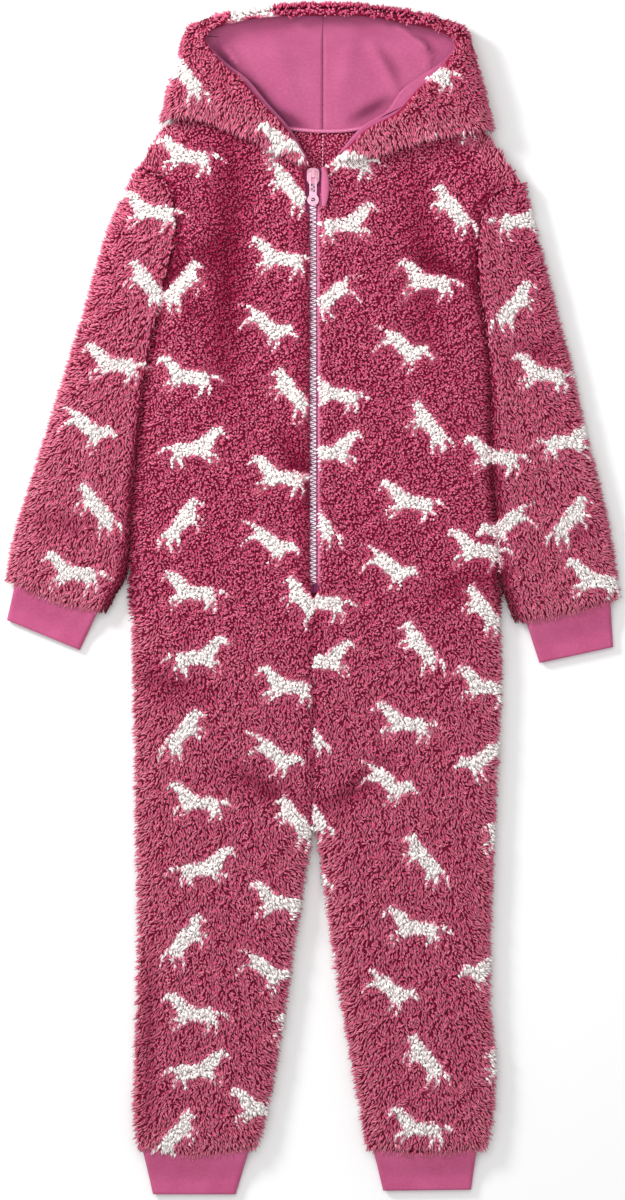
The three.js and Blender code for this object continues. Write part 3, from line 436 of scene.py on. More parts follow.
# Where each horse stands on the front: x, y in mm, pose, and the way it faces
G, R, K = "gallop", "rear", "kick"
herd = [
    (-105, 187, G, -1), (-102, 126, G, 1), (-111, 64, R, 1), (-100, 4, G, -1), (-99, -51, G, 1),
    (-110, -115, R, 1), (-96, -174, G, -1), (-94, -230, G, 1), (-108, -289, R, 1),
    (-99, -353, G, -1), (-99, -401, G, 1), (-116, -455, R, 1), (-105, 374, G, -1),
    (-111, 265, R, 1), (-26, 287, G, -1), (-37, 230, K, 1), (-18, 174, R, -1), (-26, 102, G, -1),
    (-35, 47, K, 1), (-8, -2, R, -1), (-20, -76, G, -1), (-31, -133, K, 1), (-14, -189, R, -1),
    (-26, -259, G, -1), (-38, -316, K, 1), (-15, -374, R, -1), (-43, -434, G, -1),
    (-20, 348, R, -1), (31, 370, G, -1), (26, 316, G, 1), (14, 255, K, -1), (19, 172, G, -1),
    (14, 123, G, 1), (4, 66, R, -1), (8, -4, G, -1), (8, -54, G, 1), (-6, -112, R, -1),
    (-3, -182, R, -1), (-4, -230, R, -1), (-3, -287, R, -1), (118, 330, R, -1), (99, 268, G, -1),
    (78, 212, K, 1), (99, 146, R, -1), (84, 81, G, -1), (67, 26, K, 1), (91, -41, R, -1),
    (80, -107, G, -1), (65, -157, K, 1), (94, -221, R, -1), (88, -280, G, -1), (67, -332, K, 1),
    (95, -391, R, -1), (91, -450, G, -1), (142, 40, G, -1), (145, -10, R, -1), (148, -76, G, -1),
    (144, -136, K, -1), (162, -212, R, -1), (147, -313, K, -1), (163, -404, R, -1),
    (-136, 327, G, -1), (-141, 266, R, -1), (-167, 197, G, -1), (-190, 144, K, 1),
    (-183, 76, R, -1), (-201, 20, G, -1), (176, 319, G, 1), (171, 248, R, 1), (197, 189, G, -1),
    (215, 132, G, 1), (218, 66, R, 1), (242, 14, G, -1), (156, 119, G, -1), (163, 62, K, -1),
    (-108, 440, R, -1), (-20, 382, G, -1), (99, 442, G, -1), (118, 401, G, -1), (-52, 498, G, 1),
]
HORSE, SWELL = 0.96, -0.45       # size of the drawings, and mm added to their limbs
TUCKED, FLAP_EDGE = 401, 394     # y of the horse under the hood's left flap, and of its edge
HORSE_REACH = 40                 # no limb reaches further from its horse's middle
RIGHT_FROM = -7                  # a horse in the middle is on the right side if x is below this
CUT_TOP = 375                    # above this no zip or seam cuts a horse off


def white_at(xy, blur):
    """How white the fleece is at points in the plane: the distance d to the nearest limb, the
    distance to its bone less its radius there (thick limbs are thickened and thin ones
    thinned), becomes 0.5 minus d over blur, held to 0..1. A horse beside the zip or the
    centre seam is cut off there, as the cloth was, and one lies under the hood's flap."""
    nearest = np.full(len(xy), 99.0)
    for x, y, pose, facing in herd:
        turn = -facing if faces_left[pose] else facing
        local = (xy - (x, y)) * (turn, 1) / HORSE
        side = 1 if x > RIGHT_FROM else -1
        own = (xy[:, 0] * side > 0) | (abs(x) > HORSE_REACH) | (y > CUT_TOP)
        own &= (xy[:, 1] < FLAP_EDGE) | (y != TUCKED)
        close = np.flatnonzero((np.abs(local).max(1) < HORSE_REACH) & own)
        limbs = np.array(horse_poses[pose], float)
        a, b = limbs[:, None, 0:2], limbs[:, None, 3:5]
        way = b - a
        t = np.clip(((local[close] - a) * way).sum(-1) / (way * way).sum(-1), 0, 1)
        gap = np.linalg.norm(local[close] - a - way * t[..., None], axis=-1)
        radius = mix(limbs[:, None, 2], limbs[:, None, 5], t) + SWELL
        radius = radius + 1.1 * smooth((radius - 2.8) / 2) - 0.35 * smooth((2.4 - radius) / 1)
        nearest[close] = np.minimum(nearest[close], (gap - radius).min(0))
    return np.clip(0.5 - nearest / blur, 0, 1)


print(len(herd), "horses in", len(horse_poses), "poses")

# %% [markdown]
# ## The pile
# A lock of curled fibres is a sliver with five corners: a root under the ground cloth's
# surface, a ring of three about half way, and a tip. The lower part follows the cloth's
# normal, the upper part falls over, so that every lock is bent. Locks that stand together bend
# the same way, which gives the short waves of the real pile, and near a folded edge they lie
# outwards.

# %% Waves, sowing and growing
def waves(xy, scale, seed):
    """Soft irregular waves between about -1 and 1: the mean of six sines of the plane, whose
    directions, lengths near scale and phases are drawn once from the seed."""
    draw = np.random.default_rng(seed)
    turn = draw.uniform(0, 2 * np.pi, 6)
    rate = 2 * np.pi / (scale * draw.uniform(0.7, 1.5, 6))
    phase = draw.uniform(0, 2 * np.pi, 6)
    x, y = xy[..., 0, None], xy[..., 1, None]
    return np.sin((x * np.cos(turn) + y * np.sin(turn)) * rate + phase).mean(-1) * 1.6


def at_grid(field, rows, columns):
    """The field of a grid at shares of its rows and columns, mixed from the four corners."""
    i = np.clip(rows, 0, 1) * (field.shape[0] - 1)
    j = np.clip(columns, 0, 1) * (field.shape[1] - 1)
    m = np.minimum(i.astype(int), field.shape[0] - 2)
    n = np.minimum(j.astype(int), field.shape[1] - 2)
    s, t = i - m, j - n
    if field.ndim > 2:
        s, t = s[:, None], t[:, None]
    upper = mix(field[m, n], field[m, n + 1], t)
    return mix(upper, mix(field[m + 1, n], field[m + 1, n + 1], t), s)


ROW_SHARE = 0.866                # rows of a triangular pattern, in spacings
JITTER = 0.35                    # how far chance moves a lock, in spacings


def sow(grid, spacing, draw):
    """Shares of rows and columns at which locks stand. Rows are ROW_SHARE spacings apart in the
    mean, each has as many locks as its area over the spacing squared, at equal shares of its
    area, and each lock is moved by chance."""
    tall = np.linalg.norm(np.diff(grid, axis=0), axis=-1).mean(1)
    corners = np.cross(np.diff(grid, axis=0)[:, :-1], np.diff(grid, axis=1)[:-1])
    cell = np.linalg.norm(corners, axis=-1) + 1e-6
    height = np.concatenate([[0], np.cumsum(tall)])
    rows = int(height[-1] / spacing / ROW_SHARE)
    share = np.interp((np.arange(rows) + 0.5) / rows * height[-1], height,
                      np.linspace(0, 1, len(height)))
    number = np.minimum((share * len(cell)).astype(int), len(cell) - 1)
    part = cell[number]
    many = part.sum(1) / tall[number] * height[-1] / rows / (ROW_SHARE * spacing**2)
    many = np.round(many).astype(int)
    sums = np.concatenate([np.zeros((rows, 1)), np.cumsum(part, axis=1)], axis=1)
    sums = sums / sums[:, -1:] * (1 - 1e-6) + np.arange(rows)[:, None]
    row = np.repeat(np.arange(rows), many)
    place = np.arange(len(row)) - np.repeat(np.cumsum(many) - many, many)
    place = (place + 0.25 + 0.5 * (row % 2) + draw.uniform(-JITTER, JITTER, len(row))) / many[row]
    columns = np.broadcast_to(np.linspace(0, 1, sums.shape[1]), sums.shape)
    across = np.interp(row + np.clip(place, 0.001, 0.999), sums.ravel(), columns.ravel())
    down = share[row] + draw.uniform(-JITTER, JITTER, len(row)) * np.gradient(share)[row]
    return np.clip(down, 0, 1), across


def normals_of(grid, around=False):
    """The cross product of the differences along and across a grid, as unit vectors."""
    if around:
        ring = np.concatenate([grid[:, -2:-1], grid, grid[:, 1:2]], axis=1)
        across = ring[:, 2:] - ring[:, :-2]
    else:
        across = np.gradient(grid, axis=1)
    return unit(np.cross(across, np.gradient(grid, axis=0)))


WILD = 0.24                      # how far chance turns a lock
ROOT_DEPTH = 0.9                 # mm of a lock inside the ground cloth
LOWEST = 0.25                    # mm above the floor, for any point of a lock
CORNERS = 5                      # of a lock: its root, a ring of three, its tip


def grow(name, grid, normals, lean, length, spacing, seed, material, width=1.35, curl=0.75,
         mirror=1, thin=None, plain=False, painted_shade=None):
    """Locks on a grid of skin points. The lower part points along normal + lean/2 + chance, the
    upper part along normal/2 + 1.5 lean + waves + chance. A lock that leans is bent half way
    and pointed, one that stands up is bent near its end and blunt. Leaning locks are paler, as a
    painted sheen. The last argument paints shade into creases by taking away a share of the tip's
    paleness."""
    draw = np.random.default_rng(seed)
    down, across = sow(grid, spacing, draw)
    if thin is not None:
        kept = draw.random(len(down)) < at_grid(thin, down, across)
        down, across = down[kept], across[kept]
    root = at_grid(grid, down, across)
    up = unit(at_grid(normals, down, across))
    tilt, size = at_grid(lean, down, across), at_grid(length, down, across)
    many = len(root)
    size = size * draw.uniform(0.8, 1.2, many)
    here = root[:, :2]
    swirl = np.stack([waves(here, 17, 5) + 0.7 * waves(here, 7, 7),
                      waves(here, 19, 6) + 0.7 * waves(here, 8, 8), np.zeros(many)], -1)
    chance = draw.normal(0, WILD, (many, 3))
    first = unit(up + 0.5 * tilt + 0.35 * curl * swirl + 0.6 * chance)
    second = unit(0.5 * up + 1.5 * tilt + curl * swirl + chance)
    blunt = 1 - smooth(np.linalg.norm(tilt, axis=-1) / 0.9)
    middle = root + first * (size * mix(0.5, 0.66, blunt))[:, None]
    tip = middle + second * (size * mix(0.6, 0.4, blunt))[:, None]
    start = root - ROOT_DEPTH * up
    seen_at = mix(middle, tip, 0.4)[:, :2] * (mirror, 1) + draw.normal(0, 0.4, (many, 2))
    white = white_at(seen_at, 2.4) * (not plain)
    side = unit(np.cross(first, draw.normal(0, 1, (many, 3))))
    other = np.cross(first, side)
    angle = 2 * np.pi * np.arange(3) / 3
    ring = side[:, None] * np.cos(angle)[:, None] + other[:, None] * np.sin(angle)[:, None]
    broad = (width * draw.uniform(0.85, 1.15, many) * (1 + 0.45 * white))[:, None, None]
    waist = mix(0.8, 1.0, blunt)[:, None, None]
    points = np.concatenate([start[:, None], middle[:, None] + ring * broad * waist, tip[:, None]],
                            axis=1)
    points[..., 2] = np.maximum(points[..., 2], LOWEST)
    pattern = np.array([(0, 2, 1), (0, 3, 2), (0, 1, 3), (1, 2, 4), (2, 3, 4), (3, 1, 4)])
    faces = (np.arange(many)[:, None, None] * CORNERS + pattern).reshape(-1, 3)
    # painted shade: in creases a share of the tip's paleness is taken away
    pale_after_painted_shade = np.ones(many) if painted_shade is None else 1 - at_grid(painted_shade, down, across)
    tips = np.array([0.0] + [0.58] * 3 + [1.0]) * pale_after_painted_shade[:, None]
    # painted sheen: a lock that lies flat is made paler through half of its lock value; the other
    # half is random tone
    laid_sheen = np.clip(np.linalg.norm(tilt, axis=-1) / 1.05, 0, 1)
    lock = 0.5 * draw.random(many) + 0.5 * laid_sheen
    made = put_mesh(name, points.reshape(-1, 3), faces, material, fields={
        "tip": tips.ravel(), "white": np.repeat(white, CORNERS), "lock": np.repeat(lock, CORNERS)})
    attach(made, "garment")
    print(f"{name}: {many} locks, {len(faces)} triangles")
    return made


def ground(name, points, faces, uv, mirror=1, bare=0):
    """The ground cloth under the pile, dark with painted shade as between the locks, and white
    where the horses are, except on the first points that are bare."""
    white = white_at(points[:, :2] * (mirror, 1), 3.5)
    white[:bare] = 0
    many = len(points)
    # painted shade: the ground reads as the dark lower part of a lock, paler under a horse
    made = put_mesh(name, points, faces, ground_material, uv, {
        "tip": mix(0.34, 0.9, white), "white": white, "lock": np.full(many, 0.5)})
    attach(made, "garment")
    print(f"{name}: {len(faces)} faces, cloth {half_area(points, faces):.4f} square metres")
    return made


print("a wave at the middle:", waves(np.zeros((1, 2)), 17, 5).round(2))

# %% [markdown]
# ## The pattern's lines
# These are the lines that the CAD model is built on: the sides and inseams by height, the
# armholes, shoulders and necklines, and the soft troughs that the cloth lies in. The wearer's
# right side is at negative x.

# %% Tables of the pattern
SIDES = ("right", "left")
CROTCH, HEM = -183, -463.5
UNDERARM = {"right": 260.1, "left": 256.7}
PILE = 5.6                     # height of the pile over its ground cloth
INSET = 3.6                    # the ground cloth stays this far inside the folded edges
LAYER = {"front": 17.0, "back": 8.0}
SEAM_GAP = 0.15                # each side of a closed seam
SEAM_DEPTH = 2.5               # how far a seam lies below the cloth beside it

# y, side right, side left, inseam right, inseam left
body_levels = np.array([
    (260.1, -128.3, 140.9, 0, 0), (226, -134.3, 146, 0, 0), (186, -141.9, 149.2, 0, 0),
    (121, -147.9, 150.1, 0, 0), (65, -152.5, 153.7, 0, 0), (0, -154.7, 158.1, 0, 0),
    (-51, -153.6, 160.7, 0, 0), (-119, -152.2, 158.1, 0, 0), (-183, -151.3, 155.2, -0.2, 0.2),
    (-204, -151, 154.6, -1.6, 3.6), (-238, -149.6, 153, -6.8, 8.5),
    (-289, -149.2, 151, -15.3, 15.3),
    (-340, -150.4, 150.6, -22.1, 22.9), (-391, -152, 155.2, -30.6, 32.3),
    (-442, -152.2, 152.2, -40.8, 40.8), (-466, -149.6, 147.9, -48.4, 45)])

pattern_lines = {
    "right": dict(
        sign=-1, column=1, inseam=3, hem_bow=6,
        armhole=[(-146.2, 368.9), (-128.3, 359.6), (-118.6, 340), (-115.6, 322), (-120, 294),
                 (-128.3, 260.1)],
        front_top=[(-146.2, 368.9), (-136.8, 388.4), (-125.8, 402.6), (-106.2, 413.4), (-85, 418),
                   (-66, 411.4), (-45, 399.5), (-24, 386), (-11, 376.6), (-3.6, 368)],
        back_top=[(-146.2, 368.9), (-136.8, 388.4), (-125.8, 402.6), (-106.2, 413.4), (-85, 418),
                  (-62, 406.3), (-36.5, 399.5), (-11, 396.8), (8.35, 396)],
        # outer x, outer y, inner y, and how far the inner fold stands off the side
        sleeve=[(-146.2, 368.9, 260.1, 0), (-169.2, 323, 226, 0), (-190.4, 255, 181, 0),
                (-211.7, 187, 136, 0), (-228, 136, 98, 0), (-244, 85, 58, 0.4), (-254.6, 50, 24, 3),
                (-260.1, 18, -9, 20)],
        arm_cuff=(0.09, 0.93, (-260, -17), (-198, -42.5)),
        leg_cuff=(0.05, 0.94, (-136, -504.5), (-65.5, -504.5))),
    "left": dict(
        sign=1, column=2, inseam=4, hem_bow=5,
        armhole=[(176.8, 356.1), (161.5, 350.2), (148.8, 337.4), (141.9, 318.8), (139.2, 290),
                 (141.1, 256.7)],
        front_top=[(176.8, 356.1), (165.8, 371.4), (153.8, 388.4), (141.9, 402.6), (123.2, 413.4),
                   (99.5, 416.5), (74, 404.6), (56.9, 394.4), (39.9, 385.9), (17, 374), (3.6, 368)],
        back_top=[(176.8, 356.1), (165.8, 371.4), (153.8, 388.4), (141.9, 402.6), (123.2, 413.4),
                  (99.5, 416.5), (82.5, 408), (61.2, 401.2), (31.4, 396.4), (8.65, 396)],
        sleeve=[(176.8, 356.1, 256.7, 0), (185.3, 323, 224, 0), (203.2, 255, 178, 0),
                (221, 187, 132, 0), (232.5, 136, 94, 0), (245.7, 85, 52, 0.6), (252.8, 50, 18, 1.5),
                (260.1, 3.6, -17, 11)],
        arm_cuff=(0.09, 0.9, (255, -39.9), (192.4, -53.5)),
        leg_cuff=(0.09, 0.94, (134.3, -500.6), (59.5, -501.5))),
}

# Troughs in the front layer: x, y of both ends, depth, width
troughs = np.array([
    (-68, 392, -76, 178, 2.6, 15), (-24, 138, -3, 82, 3, 8), (-122, 272, -82, 300, 2.6, 9),
    (-126, 262, -96, 238, 2, 9), (136, 268, 96, 292, 2.6, 9), (88, 352, 96, 214, 1.8, 14),
    (12, -176, 62, -138, 2.4, 10), (-12, -176, -66, -144, 2.4, 10), (-137, -292, -139, -450, 2, 6),
    (-150, -60, -96, -78, 1.8, 12), (152, 20, 104, 4, 1.8, 12), (-196, 214, -160, 196, 2.2, 9),
    (206, 214, 168, 206, 2.2, 9), (-236, 70, -188, 62, 1.6, 9), (240, 62, 196, 46, 1.6, 9)])


def relief(x, y, lines=troughs):
    """How far the troughs lower the cloth: depth times a bell of the distance to the trough's
    line, fading towards its ends with a sine."""
    x, y = np.asarray(x)[..., None], np.asarray(y)[..., None]
    x0, y0, x1, y1, depth, width = lines.T
    dx, dy = x1 - x0, y1 - y0
    t = np.clip(((x - x0) * dx + (y - y0) * dy) / (dx * dx + dy * dy), 0, 1)
    far = np.hypot(x - x0 - t * dx, y - y0 - t * dy)
    return -(depth * np.exp(-((far / width) ** 2)) * np.sin(np.pi * mix(0.15, 0.85, t))).sum(-1)


def roll_loss(distance, radius=9.0):
    """The share of height lost beside a rolled edge: a quarter circle, 1 at it, 0 at radius."""
    t = np.clip(distance / radius, 0, 1)
    return 1 - np.sqrt(1 - (1 - t) ** 2)


def seam_loss(distance):
    """A seam pulls the cloth down, from 1 at the seam to 0 at 7 mm."""
    return 1 - smooth(distance / 7)


print("trough at the right shoulder:", relief(-72, 285).round(2), "mm")

# %% [markdown]
# ## Fronts and backs
# Each front and each back is one piece from the shoulder to the ankle. Its surface is a
# function of two numbers: v goes down from the shoulder to the hem, u goes across from the
# side to the zip or the centre seam. The ground cloth stays inside the CAD wall, and the pile
# fills what is left to the wall's surface.

# %% The panel surface
def level_x(side, kind, y):
    """x of the side fold (column) or the inseam at a height, from the table of levels."""
    return follow(body_levels[:, 0], body_levels[:, pattern_lines[side][kind]], y)


def side_line(side, y):
    """x of the armhole above the underarm and of the side fold below it."""
    arm = through(pattern_lines[side]["armhole"])[::-1]
    return np.where(y > UNDERARM[side], np.interp(y, arm[:, 1], arm[:, 0]),
                    level_x(side, "column", y))


def middle_line(side, y, front, facing=0.0):
    """x of a panel's inner edge: beside the zip, or on the centre seam, then the inseam. The
    left front stands back from the zip by the width of its stitched facing."""
    sign = pattern_lines[side]["sign"]
    slider = smooth((y - 322) / 10) * (1 - smooth((y - 367) / 3))
    away = 3.6 + 3.2 * slider + facing * (side == "left")
    beside_zip = sign * mix(SEAM_GAP, away, smooth((y - 1) / 10))
    centre_back = mix(0, 8.5, smooth((y - CROTCH) / 579)) + sign * SEAM_GAP
    return np.where(y < CROTCH, level_x(side, "inseam", y), beside_zip if front else centre_back)


def panel(side, v, u, front, inset):
    """Points of a panel, and the directions in which its pile leans. x goes from the side line
    to the middle line; y goes from the corner of the shoulder to the hem and bows up to the
    shoulder line; the height is the layer's less what rolls, seams and troughs take."""
    line = pattern_lines[side]
    sign = line["sign"]
    top_line = np.array(line["front_top" if front else "back_top"], float)
    corner, end = top_line[0], top_line[-1]
    y = mix(corner[1], HEM, v)
    armhole = smooth((y - UNDERARM[side] + 2) / 6)
    legs = smooth((CROTCH - y) / 18)
    outer = side_line(side, y) - sign * inset * (1 - armhole) * (1 - 0.8 * smooth((y + 25) / 30))
    inner = middle_line(side, y, front, 2.6 if inset else 0.0) + sign * inset * legs
    x = mix(outer, inner, u)
    top_x = mix(corner[0], end[0], u)
    top_y = follow(top_line[:, 0], top_line[:, 1], top_x)
    bow = (top_y - corner[1]) * smooth((y - 120) / (corner[1] - 120)) ** 1.5
    hem_bow = line["hem_bow"] * np.sin(np.pi * u) * smooth(1 - (y - HEM) / 60)
    shoulder = smooth((np.abs(top_x) - 72) / 14)
    below = top_y - y - bow
    height = y + bow - hem_bow - inset * shoulder * np.exp(-below / 12)
    from_side, from_middle, from_hem = np.abs(x - outer), np.abs(x - inner), y - HEM
    roll = np.maximum.reduce([(1 - armhole) * roll_loss(from_side), legs * roll_loss(from_middle),
                              shoulder * roll_loss(below)])
    seam = np.maximum.reduce([armhole * seam_loss(from_side), seam_loss(from_hem),
                              0.5 * (1 - shoulder) * seam_loss(below)])
    if front:
        beside_zip = smooth((y + 16) / 18)
        centre = (1 - beside_zip) * (1 - legs) * seam_loss(from_middle)
        top = LAYER["front"] - 1.2 * beside_zip * np.exp(-from_middle / 8)
        kept = 1 - np.maximum(roll, seam)
        top = top + relief(x, height) * kept - SEAM_DEPTH * np.maximum(seam, centre)
        z = mix(top - PILE, 9.3, roll)
        over_tape = beside_zip * (1 - smooth((np.abs(x) - 15) / 12))
        z = np.maximum(z, mix(0, 12.9, over_tape))
    else:
        z = mix(3.2, 6.9, roll)
    out, down = np.zeros(x.shape + (3,)), np.zeros(x.shape + (3,))
    out[..., 0], down[..., 1] = sign, -1
    at_side = (1 - armhole) * mix(1.3, 0.7, smooth((y + 25) / 30)) * np.exp(-from_side / 12)
    over_zip = (-0.9 * front * smooth((y - 6) / 12) * (1 - smooth((y - 300) / 60))
                * np.exp(-from_middle / 4))
    at_inseam = legs * 1.3 * np.exp(-from_middle / 12)
    hanging = (0.25 + 0.4 * smooth((60 - y) / 200) + 1.0 * np.exp(-from_hem / 9)
               - 1.3 * shoulder * np.exp(-below / 12))
    lean = (out * at_side[..., None] + out * over_zip[..., None] - out * at_inseam[..., None]
            + down * hanging[..., None])
    return np.stack([x, height, z], -1), lean


def painted_crease_shade(side, skin):
    """How much painted shade the pile gets where shade falls in creases: near the armhole and the
    sleeve, beside the zip on the wearer's right, at the centre seam and in the troughs, as bells
    of the distance or shares of the depth."""
    x, y = skin[..., 0], skin[..., 1]
    from_side = np.abs(x - side_line(side, y))
    armpit = smooth((y + 30) / 30) * (1 - 0.6 * smooth((y - 330) / 40))
    seam = smooth((2 - y) / 8) * np.exp(-np.abs(x) / 2.2)
    zip_side = 0.6 * seam + (side == "right") * smooth((y - 4) / 8) * np.exp(-np.abs(x) / 4.5) * 1.2
    dark = 0.8 * armpit * np.exp(-((from_side / 5) ** 2)) + zip_side - 0.16 * relief(x, y)
    return np.clip(dark, 0, 0.85)


def shares(rows, columns, pull=0.0):
    """Row and column numbers from 0 to 1 as arrays that fill a grid; pull draws the columns
    towards both ends with a sine."""
    t = np.linspace(0, 1, columns)
    t = t - pull * np.sin(2 * np.pi * t) / (2 * np.pi)
    return np.meshgrid(np.linspace(0, 1, rows), t, indexing="ij")


print("side of the right front at the waist:", side_line("right", np.array([0.0])).round(1))

# %% [markdown]
# The fronts carry most of the pile: locks every 2.1 mm, a good 5 mm long on the chest and
# longer on the legs. The backs lie on the floor, so they get a thinner layer, and all their
# locks only at the folded sides, where they show as a fringe. Chance has a seed of its own for
# each piece: a ten for the kind of piece, and 1 or 2 for the side.

# %% Fronts
# mm between locks, and the tens of the seeds
SPACING = {"front": 2.1, "back": 2.8, "sleeve": 1.95, "hood": 1.95, "neck": 2.3}
SEED = {"front": 10, "back": 20, "sleeve": 30, "hood": 40, "neck": 50}
sewn = {}
for number, side in enumerate(SIDES, 1):
    v, u = shares(130, 30, 0.5)
    skin, _ = panel(side, v, u, True, INSET)
    under = skin.copy()
    near_zip = 1 - smooth((np.abs(skin[..., 0]) - 19) / 14)
    over_tape = 3.4 * smooth((skin[..., 1] + 16) / 18) * near_zip
    under[..., 2] = np.minimum(8.9 + over_tape, skin[..., 2] - 0.35)
    points, faces = wall(skin, under)
    cloth = ground(f"front_cloth_{side}", points, faces, grid_uv(skin))
    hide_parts(f"front_{side}")
    v, u = shares(216, 60)
    skin, lean = panel(side, v, u, True, INSET)
    normals = normals_of(skin)
    normals *= np.sign(normals[..., 2].mean())
    length = mix(5.2, 6.6, smooth((100 - skin[..., 1]) / 300))
    length = length - 0.5 * np.clip(np.linalg.norm(lean, axis=-1) - 0.5, 0, 1)
    # painted shade: the locks' tips are darkened in the creases, where shade falls
    pile = grow(f"front_pile_{side}", skin, normals, lean, length, SPACING["front"],
                SEED["front"] + number, lock_material, painted_shade=painted_crease_shade(side, skin))
    sewn[f"front_{side}"] = (cloth, pile)

# %% Backs
for number, side in enumerate(SIDES, 1):
    v, u = shares(110, 22, 0.6)
    lower, _ = panel(side, v, u, False, INSET)
    upper = lower.copy()
    upper[..., 2] = LAYER["back"] - 0.2
    points, faces = wall(upper, lower)
    cloth = ground(f"back_cloth_{side}", points, faces, grid_uv(lower), mirror=-1,
                   bare=lower[..., 0].size)
    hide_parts(f"back_{side}")
    v, u = shares(216, 60)
    skin, lean = panel(side, v, u, False, INSET)
    normals = normals_of(skin)
    normals *= -np.sign(normals[..., 2].mean())
    edge = np.clip(np.linalg.norm(lean, axis=-1) - 0.4, 0, 1)
    pile = grow(f"back_pile_{side}", skin, normals, lean + [0, -0.5, 0], 5.6 + 0.2 * edge,
                SPACING["back"], SEED["back"] + number, lock_material, width=1.6, mirror=-1,
                thin=mix(0.6, 1.0, edge))
    sewn[f"back_{side}"] = (cloth, pile)

# %% [markdown]
# ## Sleeves
# A sleeve is a flat tube with a fold on either side. Its surface is a function of v, down the
# arm from the armhole to the cuff, and of the angle round the tube. At the folds the pile
# stands out sideways, as it does on the real one.

# %% The sleeve surface
SLEEVE_MIDDLE = 8.3              # height of the plane between a sleeve's two layers
SLEEVE_TOP, SLEEVE_BOTTOM = LAYER["front"] - PILE, 3.2
SLIT_INSET, SLIT_HALF = 2.5, 0.4 # of the room inside a sleeve: from its skin, and half its height


def sleeve_surface(side, v, angle, inset):
    """Points of a flattened tube: across the sleeve by (1 - cos angle) / 2 from the outer fold
    to the inner one, and up or down from the middle plane by a share that is a quarter circle
    near each fold. The first row follows the armhole's curve."""
    line = pattern_lines[side]
    sign = line["sign"]
    rows = np.array(line["sleeve"], float)
    arm = through(line["armhole"])
    inner_x = level_x(side, "column", rows[:, 2]) + sign * (1 + rows[:, 3])
    outer_fold, inner_fold = through(rows[:, :2]), through(np.stack([inner_x, rows[:, 2]], -1))
    u = (1 - np.cos(angle)) / 2
    begin = smooth(v * 12)[..., None]
    a = mix(arm[0], by_number(outer_fold, v), begin)
    b = mix(arm[-1], by_number(inner_fold, v), begin)
    fade = ((1 - smooth(v * 1.6)) ** 1.5)[..., None]
    bow = (by_length(arm, u) - mix(arm[0], arm[-1], u[..., None])) * fade
    wide = np.linalg.norm(a - b, axis=-1)[..., None]
    narrow = mix(inset / wide, 1 - max(inset - 2.8, 0) / wide, u[..., None])
    plan = mix(a, b, narrow) + bow
    plan[..., 0] += sign * 0.5 * (1 - begin[..., 0])
    plan[..., 1] -= 4 * np.sin(np.pi * u) * smooth((v - 0.8) / 0.2)
    long = np.linalg.norm(np.diff(outer_fold, axis=0), axis=1).sum()
    seam = SEAM_DEPTH * np.maximum(seam_loss(v * long), seam_loss((1 - v) * long))
    kept = 1 - roll_loss(wide[..., 0] * np.minimum(u, 1 - u), 8)
    raised = SLEEVE_TOP + relief(plan[..., 0], plan[..., 1]) * kept - seam * kept - SLEEVE_MIDDLE
    up = np.sin(angle) >= 0
    z = SLEEVE_MIDDLE + np.where(up, raised, SLEEVE_BOTTOM - SLEEVE_MIDDLE) * kept
    along = unit(np.gradient(plan, axis=0))
    out = unit(a - b)
    sideways = np.exp(-wide[..., 0] * u / 14) + 0.25 * np.exp(-wide[..., 0] * (1 - u) / 10)
    hanging = 0.75 + 0.8 * np.exp(-(1 - v) * long / 9)[..., None]
    lean = 1.2 * out * sideways[..., None] + along * hanging
    lean = np.concatenate([lean, np.zeros(v.shape + (1,))], -1)
    return np.concatenate([plan, z[..., None]], -1), lean


def tube_shares(along, steps):
    """A grid of places along a tube and of as many equal angles round it."""
    return np.meshgrid(along, 2 * np.pi * np.arange(steps) / steps, indexing="ij")


for number, side in enumerate(SIDES, 1):
    v, angle = tube_shares(np.linspace(0, 1, 72), 44)
    skin, _ = sleeve_surface(side, v, angle, INSET)
    slit, _ = sleeve_surface(side, v, angle, INSET + SLIT_INSET)
    slit[..., 2] = SLEEVE_MIDDLE + SLIT_HALF * np.sin(angle)
    points, faces = tube_wall(skin, slit)
    cloth = ground(f"sleeve_cloth_{side}", points, faces, grid_uv(skin))
    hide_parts(f"sleeve_{side}")
    v, angle = np.meshgrid(np.linspace(0, 1, 110), np.linspace(0, 2 * np.pi, 121), indexing="ij")
    skin, lean = sleeve_surface(side, v, angle, INSET)
    normals = normals_of(skin, around=True)
    normals *= np.sign((normals[..., 2] * np.sin(angle)).mean())
    edge = np.exp(-(1 - np.cos(angle)) * 4)
    inner_edge = np.exp(-((1 + np.cos(angle)) * 50 / 6) ** 2)
    length = 6.3 - 0.8 * edge - 2.0 * inner_edge
    # painted shade: the tips are darkened along the inner fold, where the body shades the sleeve,
    # and in the troughs
    dark = 0.8 * inner_edge - 0.12 * relief(skin[..., 0], skin[..., 1])
    sparse = np.where(np.sin(angle) < -0.35, 0.4, 1.0)
    pile = grow(f"sleeve_pile_{side}", skin, normals, lean, length, SPACING["sleeve"],
                SEED["sleeve"] + number, lock_material, curl=0.7, thin=sparse,
                painted_shade=np.clip(dark, 0, 0.8))
    sewn[f"sleeve_{side}"] = (cloth, pile)

# %% [markdown]
# ## The hood
# The hood lies open on its back. From the centre seam the cloth runs along the floor, rolls
# up round the outline and comes back over itself as a flap on either side, down to the
# shoulders. Fleece is outside, jersey inside, so the same surface makes both: the lining is
# the surface a little further in.

